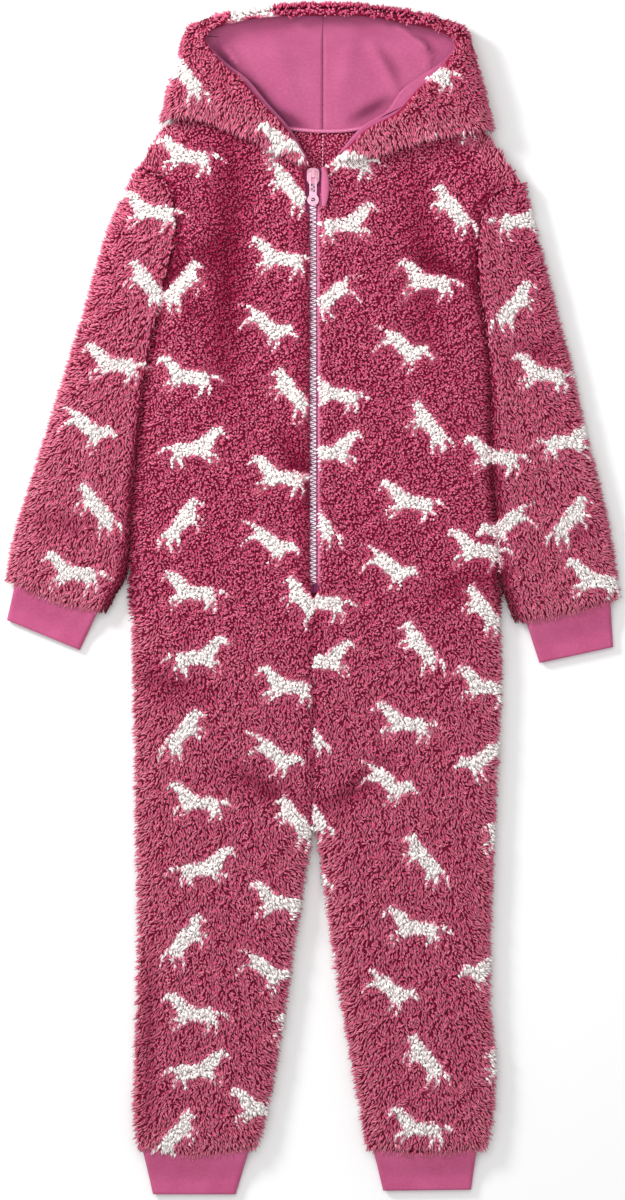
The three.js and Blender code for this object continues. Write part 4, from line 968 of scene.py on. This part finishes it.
# %% The hood surface
# fold x, fold y, rim x, rim y, seam y, top of the roll, how far the lining shows
hood_levels = {
    "right": np.array([
        (8.35, 504.5, 8.35, 494.7, 492, 21, 0), (-31.4, 502.3, -26, 494.3, 484, 21, 0),
        (-78.2, 496.4, -62, 490.6, 476, 22, 0), (-104.5, 486.2, -82, 484, 468, 23, 0),
        (-110.6, 475, -91, 475.5, 459, 24, 1), (-113.6, 463, -86, 465, 450, 25, 2),
        (-116.9, 450.5, -75, 452, 440, 26, 4), (-120.7, 439, -60, 439.5, 430, 26, 5),
        (-124.1, 427, -43, 420, 419, 26, 4), (-126.6, 416, -22, 398, 408, 26, 2),
        (-128.3, 405.5, -3.6, 370, 396.8, 26, 0)]),
    "left": np.array([
        (8.65, 504.5, 8.65, 494.7, 492, 21, 0), (50, 502.3, 44, 494.3, 484, 21, 0),
        (92.6, 496.6, 82, 487.5, 476, 22, 0), (124.6, 487, 108, 481, 468, 23, 1),
        (133.4, 474.3, 120.5, 470, 459, 24, 2), (137.4, 460, 113, 456, 450, 25, 5),
        (141.4, 445, 99, 442, 440, 26, 10), (145, 431, 86, 429, 430, 26, 12),
        (148.4, 418, 70, 411.5, 419, 26, 8), (150.6, 407, 44, 397, 408, 26, 3),
        (151.6, 399, 20.4, 373, 396.8, 26, 0)]),
}
# The hood's lines at the neck, x and y: along the floor and over the flap, outside and inside
hood_feet = {
    "right": dict(
        seam=[(8.35, 396.8), (-11, 397.8), (-36.5, 400.8), (-62, 407.8), (-85, 419.4),
              (-106.2, 415), (-118, 410.4), (-128.3, 405.5)],
        lining_seam=[(8.35, 396.8), (-11, 397.8), (-36.5, 401.2), (-55, 408.2), (-66, 413.6),
                     (-85, 420.4), (-106.2, 416), (-118, 411), (-128.3, 405.5)],
        flap=[(-3.6, 370), (-19.6, 375.5), (-36.5, 383.3), (-52.7, 392.7), (-77.3, 402),
              (-93.5, 408), (-109.6, 410.5), (-128.3, 405.5)],
        lining=[(-3.6, 372), (-11, 379), (-24, 389), (-45, 402.5), (-66, 414), (-85, 420.5),
                (-106.2, 416.5), (-128.3, 405.5)]),
    "left": dict(
        seam=[(8.65, 396.8), (31.4, 397.5), (61.2, 402.6), (82.5, 409.4), (99.5, 418),
              (123.2, 415.2), (141.9, 405), (151.6, 399)],
        lining_seam=[(8.65, 396.8), (31.4, 397.5), (61.2, 403), (74, 408), (82.5, 411.5),
                     (99.5, 419), (123.2, 416.2), (141.9, 406), (151.6, 399)],
        flap=[(20.4, 373), (31.4, 375.7), (50.1, 377.4), (68, 383.3), (92.6, 390.1), (102, 393),
              (132.6, 397.4), (151.6, 399)],
        lining=[(20.4, 377), (39.9, 388.5), (56.9, 397.5), (74, 407.5), (99.5, 419), (123.2, 416.5),
                (151.6, 399)]),
}
FLOOR_SHARE, ROLL_SHARE = 0.42, 0.30    # of s on the floor and round the fold
FLAP_START = FLOOR_SHARE + ROLL_SHARE
HOOD_WALL = 8.0                         # thickness of the fleece with its pile


def hood_surface(side, t, s, depth, lining=False):
    """Points of the hood: t goes from its top round to the neck. s goes from the centre seam
    along the floor, then round the fold by a half turn, then back over the flap to the rim;
    depth is how far inside the fleece's outer surface the points lie."""
    levels, feet, sign = hood_levels[side], hood_feet[side], pattern_lines[side]["sign"]
    first, last = levels[0], levels[-1]
    number = np.arange(len(levels))

    def value(k, share):
        return follow(number, levels[:, k], share * (len(levels) - 1))

    fold = np.stack([value(0, t), value(1, t)], -1)
    seam = np.stack([np.full(t.shape, first[0]), value(4, t)], -1)
    rim = np.stack([value(2, t), value(3, t)], -1)
    reach = np.linalg.norm(rim - fold, axis=-1)
    to_rim = unit(rim - fold)
    show = value(6, t) if lining else np.zeros_like(t)
    rim = rim + to_rim * show[..., None]
    span = np.linalg.norm(seam - fold, axis=-1)
    to_seam = unit(seam - fold)
    nudge = np.where(t < 0.9, 1, -1) * (0.07 if lining else 0.01)
    further = np.stack([value(0, t + nudge), value(1, t + nudge)], -1)
    tangent = unit((further - fold) * np.sign(nudge)[..., None])
    inward = mix(np.array([0.0, -1.0]), sign * np.stack([tangent[..., 1], -tangent[..., 0]], -1),
                 smooth(t * 14)[..., None])
    side_wall = np.minimum(HOOD_WALL, 0.55 * reach)
    within = depth >= HOOD_WALL
    inside = side_wall + depth - HOOD_WALL if within else depth * side_wall / HOOD_WALL
    radius = np.maximum(0.6, np.minimum(13, 0.42 * reach) - inside * 0.6)
    low, high = depth, value(5, t) - depth
    on_floor, on_flap = s < FLOOR_SHARE, s > FLAP_START
    turn = np.pi * np.clip((s - FLOOR_SHARE) / ROLL_SHARE, 0, 1)
    floor = 1 - turn / np.pi
    bend = inside + radius
    flap_part = (s - FLOOR_SHARE - ROLL_SHARE) / (1 - FLOOR_SHARE - ROLL_SHARE)
    along = np.where(on_floor, mix(span, bend, s / FLOOR_SHARE),
                     np.where(on_flap, mix(bend, reach + show, flap_part),
                              inside + radius * (1 - np.sin(turn))))
    on_fold = (low + high) / 2 - (high - low) / 2 * np.cos(turn)
    z = np.where(on_floor, low, np.where(on_flap, high, on_fold))
    on_roll = np.minimum(along, bend)[..., None]
    straight = mix(to_rim, to_seam, floor[..., None])
    way = mix(inward, straight, smooth((t - 0.55) / 0.45)[..., None])
    turned = fold + way * on_roll
    lower_half = floor > 0.5
    total = np.where(lower_half, span, reach + show)
    target = np.where(lower_half[..., None], seam, rim)
    p = mix(turned, target, ((along - on_roll[..., 0]) / (total - bend))[..., None])
    fade = smooth((t - 0.35) / 0.65) ** 1.3
    clear = smooth((along - 16) / 25) if lining else 0.0

    def bow(key, x, start_x, start_y):
        line = np.array(feet[key], float)
        direct = mix(last[1], start_y, np.clip((x - last[0]) / (start_x - last[0]), 0, 1))
        return (follow(line[:, 0], line[:, 1], x) - direct) * fade

    floor_x = mix(last[0], first[0], np.clip(along / span, 0, 1))
    flap_x = mix(last[0], last[2], np.clip(along / reach, 0, 1))
    lower = mix(bow("seam", floor_x, first[0], last[4]),
                bow("lining_seam", floor_x, first[0], last[4]), clear)
    upper = mix(bow("flap", flap_x, last[2], last[3]),
                bow("lining", flap_x, last[2], last[3]), clear)
    p[..., 1] += mix(upper, lower, floor)
    return np.concatenate([p, np.broadcast_to(z, p.shape[:-1])[..., None]], -1)


def hood_shares(rows, columns):
    """Rows drawn to both ends, columns even along the floor, the roll and the flap."""
    t = np.linspace(0, 1, rows)
    t = t - 0.5 * np.sin(2 * np.pi * t) / (2 * np.pi)
    return np.meshgrid(t, np.linspace(0, 1, columns), indexing="ij")


SKIN_DEPTH, WALL_DEPTH = 3.4, 7.6       # of the ground cloth's two faces, under the pile
for number, side in enumerate(SIDES, 1):
    t, s = hood_shares(48, 60)
    skin = hood_surface(side, t, s, SKIN_DEPTH)
    inner = hood_surface(side, t, s, WALL_DEPTH)
    points, faces = wall(skin, inner)
    cloth = ground(f"hood_cloth_{side}", points, faces, grid_uv(skin))
    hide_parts(f"hood_{side}")
    t, s = shares(90, 120)
    skin = hood_surface(side, t, s, SKIN_DEPTH)
    normals = normals_of(skin)
    normals *= -np.sign((normals[..., 2] * (s < FLOOR_SHARE)).mean())
    middle = FLOOR_SHARE + ROLL_SHARE / 2
    fold_way = unit(skin[:, 50:51] - skin[:, 100:101])
    edge = np.exp(-((s - middle) / 0.16) ** 2)[..., None]
    rim_edge = np.exp(-(1 - s) / 0.05)[..., None]
    lean = fold_way * (0.6 * edge - 0.2 * rim_edge + 0.3) * [1, 1, 0]
    lean[..., 1] -= 0.4 * smooth((t - 0.12) / 0.25)
    lean[..., 1] -= 1.0 * smooth((t - 0.75) / 0.25)
    length = 6.2 - 0.7 * edge[..., 0] + 2.0 * smooth((t - 0.85) / 0.15)
    sparse = np.where(s < FLOOR_SHARE - 0.07, 0.2, 1.0)
    pile = grow(f"hood_pile_{side}", skin, normals, lean, length, SPACING["hood"],
                SEED["hood"] + number, lock_material, thin=sparse)
    sewn[f"hood_{side}"] = (cloth, pile)

# %% [markdown]
# The inside of the back shows in the neck opening. There the fleece is short and dark, so a
# few rows of short locks stand on the back's upper face.

# %% The neck
for number, side in enumerate(SIDES, 1):
    v, u = shares(60, 70)
    skin, _ = panel(side, v * 0.09, u, False, 0.0)
    skin[..., 2] = LAYER["back"] - 0.4
    shown = (skin[..., 1] > 352) & (np.abs(skin[..., 0] - 8) < 52)
    upright, lean = np.zeros(skin.shape) + [0, 0, 1], np.zeros(skin.shape) + [0, -0.3, 0]
    neck = grow(f"neck_pile_{side}", skin, upright, lean, np.full(skin.shape[:2], 3.4),
                SPACING["neck"], SEED["neck"] + number, neck_material,
                thin=shown.astype(float), plain=True)
    sewn[f"back_{side}"] += (neck,)

# %% [markdown]
# ## Jersey
# Cuffs, lining and zip guard are a fine cotton knit. Its stitches are a fraction of a
# millimetre wide, so they are a pattern in the material, worked out from the piece's own UV
# map in metres: columns of loops that lean left and right in turn. A slow cloudiness and a
# few slubs keep the colour from being flat.

# %% The knit
knit, group_in, group_out = start_group(
    "jersey knit",
    [("Cloth", "Vector"), ("Gauge", "Float"), ("Light", "Color"), ("Dark", "Color"),
     ("Cloud", "Float")],
    [("Colour", "Color"), ("Height", "Float")])
cloth_in = group_in.outputs["Cloth"]
apart = node(knit, "ShaderNodeSeparateXYZ", {"Vector": cloth_in})


def times(a, b, operation="MULTIPLY"):
    """One Math node of the knit; either side is a number or another node's output."""
    made = node(knit, "ShaderNodeMath", operation=operation)
    for socket, value in zip(made.inputs, (a, b)):
        if isinstance(value, bpy.types.NodeSocket):
            knit.links.new(value, socket)
        else:
            socket.default_value = value
    return made.outputs["Value"]


gauge = times(group_in.outputs["Gauge"], 2 * np.pi)
wale = times(times(apart.outputs["X"], gauge), 0.0, "SINE")
course = times(times(times(apart.outputs["Y"], gauge), 1.3), times(wale, 1.1), "ADD")
loops = times(times(wale, 0.0, "ABSOLUTE"), times(course, 0.0, "SINE"), "ADD")
cloud = node(knit, "ShaderNodeTexNoise", {
    "Vector": cloth_in, "Scale": group_in.outputs["Cloud"], "Detail": 3.0}).outputs["Fac"]
slub = node(knit, "ShaderNodeTexNoise", {
    "Vector": cloth_in, "Scale": 420.0, "Detail": 2.0, "Roughness": 0.7}).outputs["Fac"]
share = times(times(cloud, 0.9), times(times(slub, 0.7), times(loops, 0.06), "ADD"), "ADD")
woven = tint(knit, spread(knit, share, 0, 1, 0.45, 1.25), group_in.outputs["Dark"],
             group_in.outputs["Light"])
knit.links.new(woven, group_out.inputs["Colour"])
knit.links.new(times(loops, times(slub, 0.8), "ADD"), group_out.inputs["Height"])


def jersey_material(name, light, dark, gauge=1100.0):
    """A knitted cotton: the knit group on the piece's UV map, with a shallow bump. A vertex value
    paints shadow in, turning the colour towards a dark pink where little light gets in."""
    made, tree, shader = new_material(
        name, **{"Roughness": 0.85, "Sheen Weight": 0.12, "Sheen Roughness": 0.5,
                 "Specular IOR Level": 0.25})
    place = node(tree, "ShaderNodeUVMap", uv_map="cloth")
    cloth = node(tree, "ShaderNodeGroup", node_tree=knit)
    tree.links.new(place.outputs["UV"], cloth.inputs["Cloth"])
    for label, value in (("Gauge", gauge), ("Light", light), ("Dark", dark), ("Cloud", 24.0)):
        cloth.inputs[label].default_value = value
    # painted shadow: the colour is pulled towards this dark pink by a vertex value
    painted_flap_shadow = node(tree, "ShaderNodeAttribute", attribute_name="painted_flap_shadow")
    painted_shadow_tint = tint(tree, painted_flap_shadow.outputs["Fac"], cloth.outputs["Colour"], shade(96, 22, 60))
    tree.links.new(painted_shadow_tint, shader.inputs["Base Color"])
    emboss(tree, shader, cloth.outputs["Height"], 0.3, 0.0003)
    tree.links.new(spread(tree, cloth.outputs["Height"], 0.9, 0.75), shader.inputs["Roughness"])
    return made


cuff_material = jersey_material("cuff jersey", shade(193, 92, 134), shade(162, 62, 104))
lining_material = jersey_material("lining jersey", shade(190, 96, 137), shade(158, 66, 108))
trim_material = jersey_material("trim jersey", shade(206, 112, 152), shade(178, 80, 122), 1400.0)
tape_material = jersey_material("zip tape weave", shade(156, 62, 112), shade(104, 28, 72), 1500.0)
print("three jerseys and the zip's tape from one knit group")

# %% [markdown]
# A cuff is a doubled band, pressed flat, that comes out of the sleeve or the leg and drops to
# the floor. It is a tube like the sleeve, but narrow and thin, with a rounded fold at its free
# end and a slight wave where the rib relaxes.

# %% Cuffs
def arm_end(side, u):
    """The end of a sleeve from its outer fold to its inner fold, bowed by a sine."""
    line = pattern_lines[side]
    x, y, inner_y, away = line["sleeve"][-1]
    inner_x = level_x(side, "column", inner_y) + line["sign"] * (1 + away)
    return np.stack([mix(x, inner_x, u), mix(y, inner_y, u) - 4 * np.sin(np.pi * u)], -1)


def leg_end(side, u):
    """The end of a leg from its side fold to its inseam, bowed by a sine."""
    outer, inner = level_x(side, "column", HEM), level_x(side, "inseam", HEM)
    hem = HEM - pattern_lines[side]["hem_bow"] * np.sin(np.pi * u)
    return np.stack([mix(outer, inner, u), hem], -1)


CUFF_HEIGHT, CUFF_WALL, CUFF_SLIT = 6.2, 2.4, 1.4
CUFF_GAP = 0.6                   # between a cuff and the sleeve or leg, taken up by the seam


def cuff_surface(side, cuff, end, v, angle, inside):
    """Points of a cuff: v from the sleeve's end to the free end, the angle round it; inside
    gives the slit. The middle plane drops from the sleeve's to half the cuff's height."""
    start, stop, outer_corner, inner_corner = cuff
    corners = np.array([outer_corner, inner_corner], float)
    middle, origin = corners.mean(0), end(side, np.array(0.5))
    apart = unit(middle - origin) * CUFF_GAP
    u = (1 - np.cos(angle)) / 2
    wide = np.linalg.norm(mix(end(side, np.array(start)) - end(side, np.array(stop)),
                              corners[0] - corners[1], v[..., None]), axis=-1)
    u = mix(CUFF_WALL / wide, 1 - CUFF_WALL / wide, u) if inside else u
    upper = end(side, mix(start, stop, u)) + apart
    p = mix(upper, mix(corners[0], corners[1], u[..., None]), v[..., None])
    centre = mix(SLEEVE_MIDDLE, CUFF_HEIGHT / 2, smooth(v * 1.4))
    if inside:
        return np.concatenate([p, (centre + CUFF_SLIT / 2 * np.sin(angle))[..., None]], -1)
    kept = 1 - roll_loss(wide * np.minimum(u, 1 - u), CUFF_HEIGHT / 2)
    tip = 1 - 0.3 * smooth((v - 0.95) / 0.05) ** 2
    ease = 0.25 * np.sin(26 * u + 3 * v) * smooth(v * 3) * (1 - 0.5 * v)
    rise = (CUFF_HEIGHT / 2 + np.where(np.sin(angle) > 0, ease, 0)) * kept * tip
    return np.concatenate([p, (centre + np.where(np.sin(angle) >= 0, 1, -1) * rise)[..., None]], -1)


for side in SIDES:
    for limb, end in (("arm", arm_end), ("leg", leg_end)):
        v, angle = tube_shares(1 - (1 - np.linspace(0, 1, 30)) ** 1.6, 56)
        outer = cuff_surface(side, pattern_lines[side][f"{limb}_cuff"], end, v, angle, False)
        inner = cuff_surface(side, pattern_lines[side][f"{limb}_cuff"], end, v, angle, True)
        points, faces = tube_wall(outer, inner)
        cuff = put_mesh(f"{limb}_cuff_band_{side}", points, faces, cuff_material, grid_uv(outer))
        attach(cuff, "garment")
        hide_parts(f"{limb}_cuff_{side}")
        sewn[f"{limb}_cuff_{side}"] = (cuff,)
        print(f"{cuff.name}: cloth {half_area(points, faces):.4f} square metres")

# %% [markdown]
# The lining follows the hood's surface from inside. It shows a centre seam, a few soft
# creases where the cloth is too wide for the hood, and a strip past the edge of each flap.
# Beside the flaps its colour is darkened by a painted shadow, where the flaps shade it.

# %% The lining
# Creases: x, y of both ends, height, width
creases = np.array([
    (70, 488, 108, 456, 4.6, 3.6), (50, 470, 72, 430, 4.2, 4.2), (-80, 474, -56, 446, 3.6, 3.8),
    (-34, 474, -16, 424, 2.0, 8), (34, 480, 24, 428, 1.8, 8), (92, 474, 100, 450, 3.4, 3.0)])
# Painted shadow beside the flaps, where they shade the lining: x, y of both ends, darkness, width
painted_flap_shadow_lines = np.array([
    (-82, 468, -62, 446, 0.8, 5), (-58, 442, -38, 418, 1.2, 6), (-36, 416, -8, 400, 1.0, 6),
    (62, 424, 34, 408, 0.9, 5), (90, 480, 102, 454, 0.45, 4), (60, 464, 74, 442, 0.4, 4)])
LINING_FACE, LINING_BACK = 9.8, 8.3     # depth of its seen and its hidden side
LAID = 13                               # below this height the lining lies on the hood's back
for side in SIDES:
    t, s = hood_shares(60, 84)
    inner = hood_surface(side, t, s, LINING_FACE, lining=True)
    outer = hood_surface(side, t, s, LINING_BACK, lining=True)
    lifted = -relief(inner[..., 0], inner[..., 1], creases) * (1 - smooth((s - 0.36) / 0.2))
    inner[..., 2] += lifted
    outer[..., 2] += lifted * 0.9
    points, faces = wall(outer, inner)
    # painted shadow, only where the lining lies low beside the flaps
    painted_flap_shadow = np.clip(-relief(points[:, 0], points[:, 1], painted_flap_shadow_lines), 0, 0.8)
    painted_flap_shadow = np.where(points[:, 2] < LAID, painted_flap_shadow, 0.0)
    cloth = put_mesh(f"lining_cloth_{side}", points, faces, lining_material, grid_uv(outer),
                     {"painted_flap_shadow": painted_flap_shadow})
    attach(cloth, "garment")
    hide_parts(f"hood_lining_{side}")
    sewn[f"lining_{side}"] = (cloth,)
    print(f"{cloth.name}: cloth {half_area(points, faces):.4f} square metres")

# %% [markdown]
# ## Bands and stitches
# A narrow band covers the neck seam, a facing is stitched beside the zip, and a guard bends
# over the zip's top so that it doesn't scratch the chin. All three are a strip carried along a
# line: at each step a cross-section stands across the line's direction.

# %% Bands
def band(name, path, half, thick, material, crown=0.0, taper=0.0):
    """A closed strip along a line of x, y, z points: to each side by half, narrower towards
    the ends by a power of a sine, thick in height, and higher in the middle by crown."""
    t = np.linspace(0, 1, 60)
    line = by_length(through(path), t)
    way = unit(np.gradient(line[:, :2], axis=0))
    across = np.linspace(-1, 1, 9)
    narrow = np.sin(np.pi * mix(0.12, 0.88, t)) ** taper
    reach = (half * narrow)[:, None] * across
    x = line[:, :1] - way[:, 1:] * reach
    y = line[:, 1:2] + way[:, :1] * reach
    z = line[:, 2:] + np.zeros(reach.shape)
    upper = np.stack([x, y, z + (thick + crown * (1 - across**2)) * (1 - 0.35 * across**6)], -1)
    lower = np.stack([x, y, z], -1)
    points, faces = wall(upper, lower)
    made = put_mesh(name, points, faces, material, grid_uv(lower))
    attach(made, "garment")
    print(f"{name}: cloth {half_area(points, faces):.5f} square metres")
    return made


guard_line = [(8.4, 366.4, 17.8), (9.6, 362, 17.7), (10.3, 355, 17.6), (10.4, 348, 17.6),
              (10.1, 341, 17.6), (9.0, 333, 17.4)]
guard = band("zip_guard_band", guard_line, 3.2, 1.4, trim_material, 0.6, 0.7)
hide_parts("zip_guard")
neck_line = [(-34, 401.6, 9.0), (-11, 398.6, 9.9), (8.5, 397.4, 10), (31.4, 398.3, 9.9),
             (56, 403.4, 9.0)]
neck_band = band("neck_band", neck_line, 1.6, 1.5, trim_material, 0.3)
facing_line = [(5.6, 12, 12.5), (5.6, 180, 12.5), (5.6, 330, 12.5), (7.6, 341, 12.5),
               (8.4, 360, 12.5)]
facing = band("zip_facing", facing_line, 1.5, 1.0, trim_material, 0.35)

# %% [markdown]
# Threads show at the centre back, on the neck band and on the facing. Each stitch is a spindle
# of its own, because a thread is thick where it lies on the cloth and thin where it goes in.

# %% Stitches
def stitches(name, path, pitch, radius):
    """Short threads along a line: each a six-sided spindle as long as three quarters of the
    pitch, thick in its middle, lying in the line's direction."""
    line = through(path)
    long = np.linalg.norm(np.diff(line, axis=0), axis=1).sum()
    many = int(long / pitch)
    t = (np.arange(many) + 0.5) / many
    centre = by_length(line, t)
    ahead, behind = np.minimum(t + 0.002, 1), np.maximum(t - 0.002, 0)
    way = unit(by_length(line, ahead) - by_length(line, behind))
    side = unit(np.cross(way, [0, 0, 1.0]))
    up = np.cross(side, way)
    sides, rings = 6, 5
    turn = 2 * np.pi * np.arange(sides) / sides
    ring = side[:, None] * np.cos(turn)[:, None] + up[:, None] * np.sin(turn)[:, None]
    spots = np.array([-0.5, -0.36, 0.0, 0.36, 0.5]) * 0.75 * pitch
    girth = np.array([0.35, 0.9, 1.0, 0.9, 0.35]) * radius
    points = (centre[:, None, None] + way[:, None, None] * spots[:, None, None]
              + ring[:, None] * girth[:, None, None])
    body = cells(rings, sides, 0, True)
    caps = np.array([(0, 1, 2, 3), (0, 3, 4, 5), (27, 26, 25, 24), (29, 28, 27, 24)])
    pattern = outward(points[0].reshape(-1, 3) - centre[0], np.vstack([body, caps[:, ::-1]]))
    faces = (np.arange(many)[:, None, None] * rings * sides + pattern).reshape(-1, 4)
    made = put_mesh(name, points.reshape(-1, 3), faces, thread_material)
    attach(made, "garment")
    print(f"{name}: {many} stitches")
    return made


thread_material, thread_tree, thread_shader = new_material(
    "thread", **{"Roughness": 0.6, "Sheen Weight": 0.2})
thread_place = node(thread_tree, "ShaderNodeTexCoord")
twist = node(thread_tree, "ShaderNodeTexWave", {
    "Vector": thread_place.outputs["Object"], "Scale": 500.0, "Distortion": 2.0})
thread_tone = ramp(thread_tree, twist.outputs["Fac"],
                   [(0, shade(222, 150, 178)), (1, shade(240, 186, 206))])
thread_tree.links.new(thread_tone, thread_shader.inputs["Base Color"])
neck_stitches = stitches("centre_back_stitches",
                         [(8.5, 395, 11.2), (8.3, 382, 11.4), (8.0, 367, 11.2)], 2.6, 0.42)
facing_stitches = stitches("facing_stitches",
                           [(5.2, 14, 13.8), (5.2, 180, 13.8), (5.2, 330, 13.8)], 2.5, 0.3)
band_stitches = stitches("neck_band_stitches",
                         [(-32, 401.4, 10.9), (-11, 398.6, 11.7), (8.5, 397.4, 11.8),
                          (31.4, 398.3, 11.7), (54, 403.1, 10.9)], 2.5, 0.28)

# %% [markdown]
# ## The zip
# Moulded teeth sit on the beaded edge of a woven tape, half a pitch apart on the two sides. A
# tooth tapers from its foot on the tape to a rounded head between its neighbours. It is drawn
# once as an outline at three heights and repeated by adding the pitch to whole arrays.

# %% Teeth and tapes
def moulded(name, scale, low, high, **values):
    """Moulded plastic whose colour a noise clouds from low to high."""
    made, tree, shader = new_material(name, **values, IOR=1.5)
    cloud = grain(tree, scale, 3.0)
    tree.links.new(ramp(tree, cloud, [(0.3, low), (0.7, high)]), shader.inputs["Base Color"])
    return made, tree, shader, cloud


zip_plastic, zip_tree, zip_shader, zip_cloud = moulded(
    "zip teeth", 300.0, shade(246, 220, 238), shade(255, 242, 252),
    **{"Roughness": 0.35, "Coat Weight": 0.15, "Coat Roughness": 0.3})
zip_tree.links.new(spread(zip_tree, zip_cloud, 0.28, 0.48), zip_shader.inputs["Roughness"])

PITCH, CHAIN_LOW, CHAIN_HIGH = 3.5, 10.2, 12.9
TEETH, FIRST_TOOTH = 99, 14             # on each side, and y of the lowest
TAPE_EDGE, TAPE_LOW, TAPE_HIGH = 14, 6, 366
half_tooth = np.array([(2.7, 1.2), (1.6, 0.92), (0.2, 0.58), (-1.2, 0.24), (-2.0, 0.08)])
tooth = np.vstack([half_tooth, half_tooth[::-1] * (1, -1)])
tooth_middle = np.array([0.9, 0.0])
heights = np.array([CHAIN_LOW, CHAIN_HIGH - 0.5, CHAIN_HIGH])
shrink = np.array([1.0, 1.0, 0.62])[:, None, None]
one_tooth = np.concatenate([mix(tooth_middle, tooth, shrink),
                            np.broadcast_to(heights[:, None, None], (3, 10, 1))], -1)
ends = np.array([(0, 1, 8, 9), (1, 2, 7, 8), (2, 3, 6, 7), (3, 4, 5, 6)])
tooth_faces = np.vstack([cells(3, 10, 0, True), ends[:, ::-1], ends + 20])
for side, sign in (("right", -1), ("left", 1)):
    y = FIRST_TOOTH + PITCH * np.arange(TEETH) + (PITCH / 2 if sign > 0 else 0)
    row = (one_tooth * (sign, 1, 1)).reshape(-1, 3)
    points = row + np.stack([np.zeros(TEETH), y, np.zeros(TEETH)], -1)[:, None]
    pattern = outward(row - (0, 0, 11), tooth_faces)
    faces = (np.arange(TEETH)[:, None, None] * len(row) + pattern).reshape(-1, 4)
    teeth = put_mesh(f"zip_teeth_{side}", points.reshape(-1, 3), faces, zip_plastic)
    teeth.data.shade_flat()
    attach(teeth, "garment")
    if side == "right":
        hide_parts("zip_chain")
    # the woven tape, with a bead under the teeth
    x, y = np.meshgrid(np.linspace(0.2, TAPE_EDGE, 16), np.linspace(TAPE_LOW, TAPE_HIGH, 90))
    bead = 0.35 * np.exp(-((x - 3.9) / 0.7) ** 2)
    under_teeth = 0.9 * smooth((3.2 - x) / 0.6)
    upper = np.stack([sign * x, y, 11.9 + bead - under_teeth], -1)
    lower = np.stack([sign * x, y, 11.1 - bead - under_teeth], -1)
    points, faces = wall(upper, lower)
    tape = put_mesh(f"zip_tape_cloth_{side}", points, faces, tape_material, grid_uv(upper))
    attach(tape, "garment")
    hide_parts(f"zip_tape_{side}")
    sewn[f"tape_{side}"] = (tape,)
    print(f"{teeth.name}: {len(faces)} faces, tape {half_area(points, faces):.5f} square metres")

# %% [markdown]
# The slider and its pull tab are moulded too. Their CAD shapes are right, so they stay and get
# a glossy pink plastic whose colour clouds a little, as it does where the plastic is thin.

# %% Slider and tab
moulding, mould_tree, mould_shader, mould_cloud = moulded(
    "moulded pink", 260.0, shade(206, 120, 150), shade(238, 172, 196),
    **{"Roughness": 0.3, "Coat Weight": 0.4, "Coat Roughness": 0.15})
emboss(mould_tree, mould_shader, mould_cloud, 0.15, 0.0004)
for name in ("zip_slider", "zip_pull"):
    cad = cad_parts[name]
    cad.data.materials.clear()
    cad.data.materials.append(moulding)
    print(name, "keeps its CAD shape, in", moulding.name)

# %% [markdown]
# ## The cut
# Each piece of cloth has the size it is cut to listed in a table, measured on the pattern that the
# CAD model is built on, with what it lies on. A sleeve or a cuff counts all round.

# %% Sheets
sewn["guard"], sewn["neck_band"] = (guard,), (neck_band, band_stitches)
sewn["facing"] = (facing, facing_stitches)
sewn["back_left"] += (neck_stitches,)
# Width and length in metres, area in square metres, and what each lies on
cut = {
    "front_right": (0.185, 0.90, 0.120, ["back_cloth_right"]),
    "front_left": (0.190, 0.90, 0.124, ["back_cloth_left"]),
    "back_right": (0.175, 0.89, 0.122, ["floor"]), "back_left": (0.175, 0.89, 0.124, ["floor"]),
    "sleeve_right": (0.235, 0.38, 0.058, ["floor"]), "sleeve_left": (0.235, 0.38, 0.058, ["floor"]),
    "hood_right": (0.27, 0.15, 0.0215, ["floor"]), "hood_left": (0.27, 0.15, 0.0225, ["floor"]),
    "lining_right": (0.26, 0.13, 0.0165, ["hood_cloth_right"]),
    "lining_left": (0.26, 0.13, 0.0170, ["hood_cloth_left"]),
    "arm_cuff_right": (0.140, 0.045, 0.0055, ["floor"]),
    "arm_cuff_left": (0.140, 0.048, 0.0058, ["floor"]),
    "leg_cuff_right": (0.150, 0.046, 0.0066, ["floor"]),
    "leg_cuff_left": (0.160, 0.044, 0.0064, ["floor"]),
    "tape_right": (0.014, 0.362, 0.0050, ["back_cloth_right"]),
    "tape_left": (0.014, 0.362, 0.0050, ["back_cloth_left"]),
    "guard": (0.010, 0.038, 0.00027, ["front_cloth_left"]),
    "neck_band": (0.010, 0.094, 0.00042, ["back_cloth_right", "back_cloth_left"]),
    "facing": (0.010, 0.352, 0.0014, ["front_cloth_left"]),
}
for key, (width, long, area, under) in cut.items():
    cloth, *others = sewn[key]
print(len(cut), "sheets,", round(sum(row[2] for row in cut.values()), 3), "square metres of cloth")
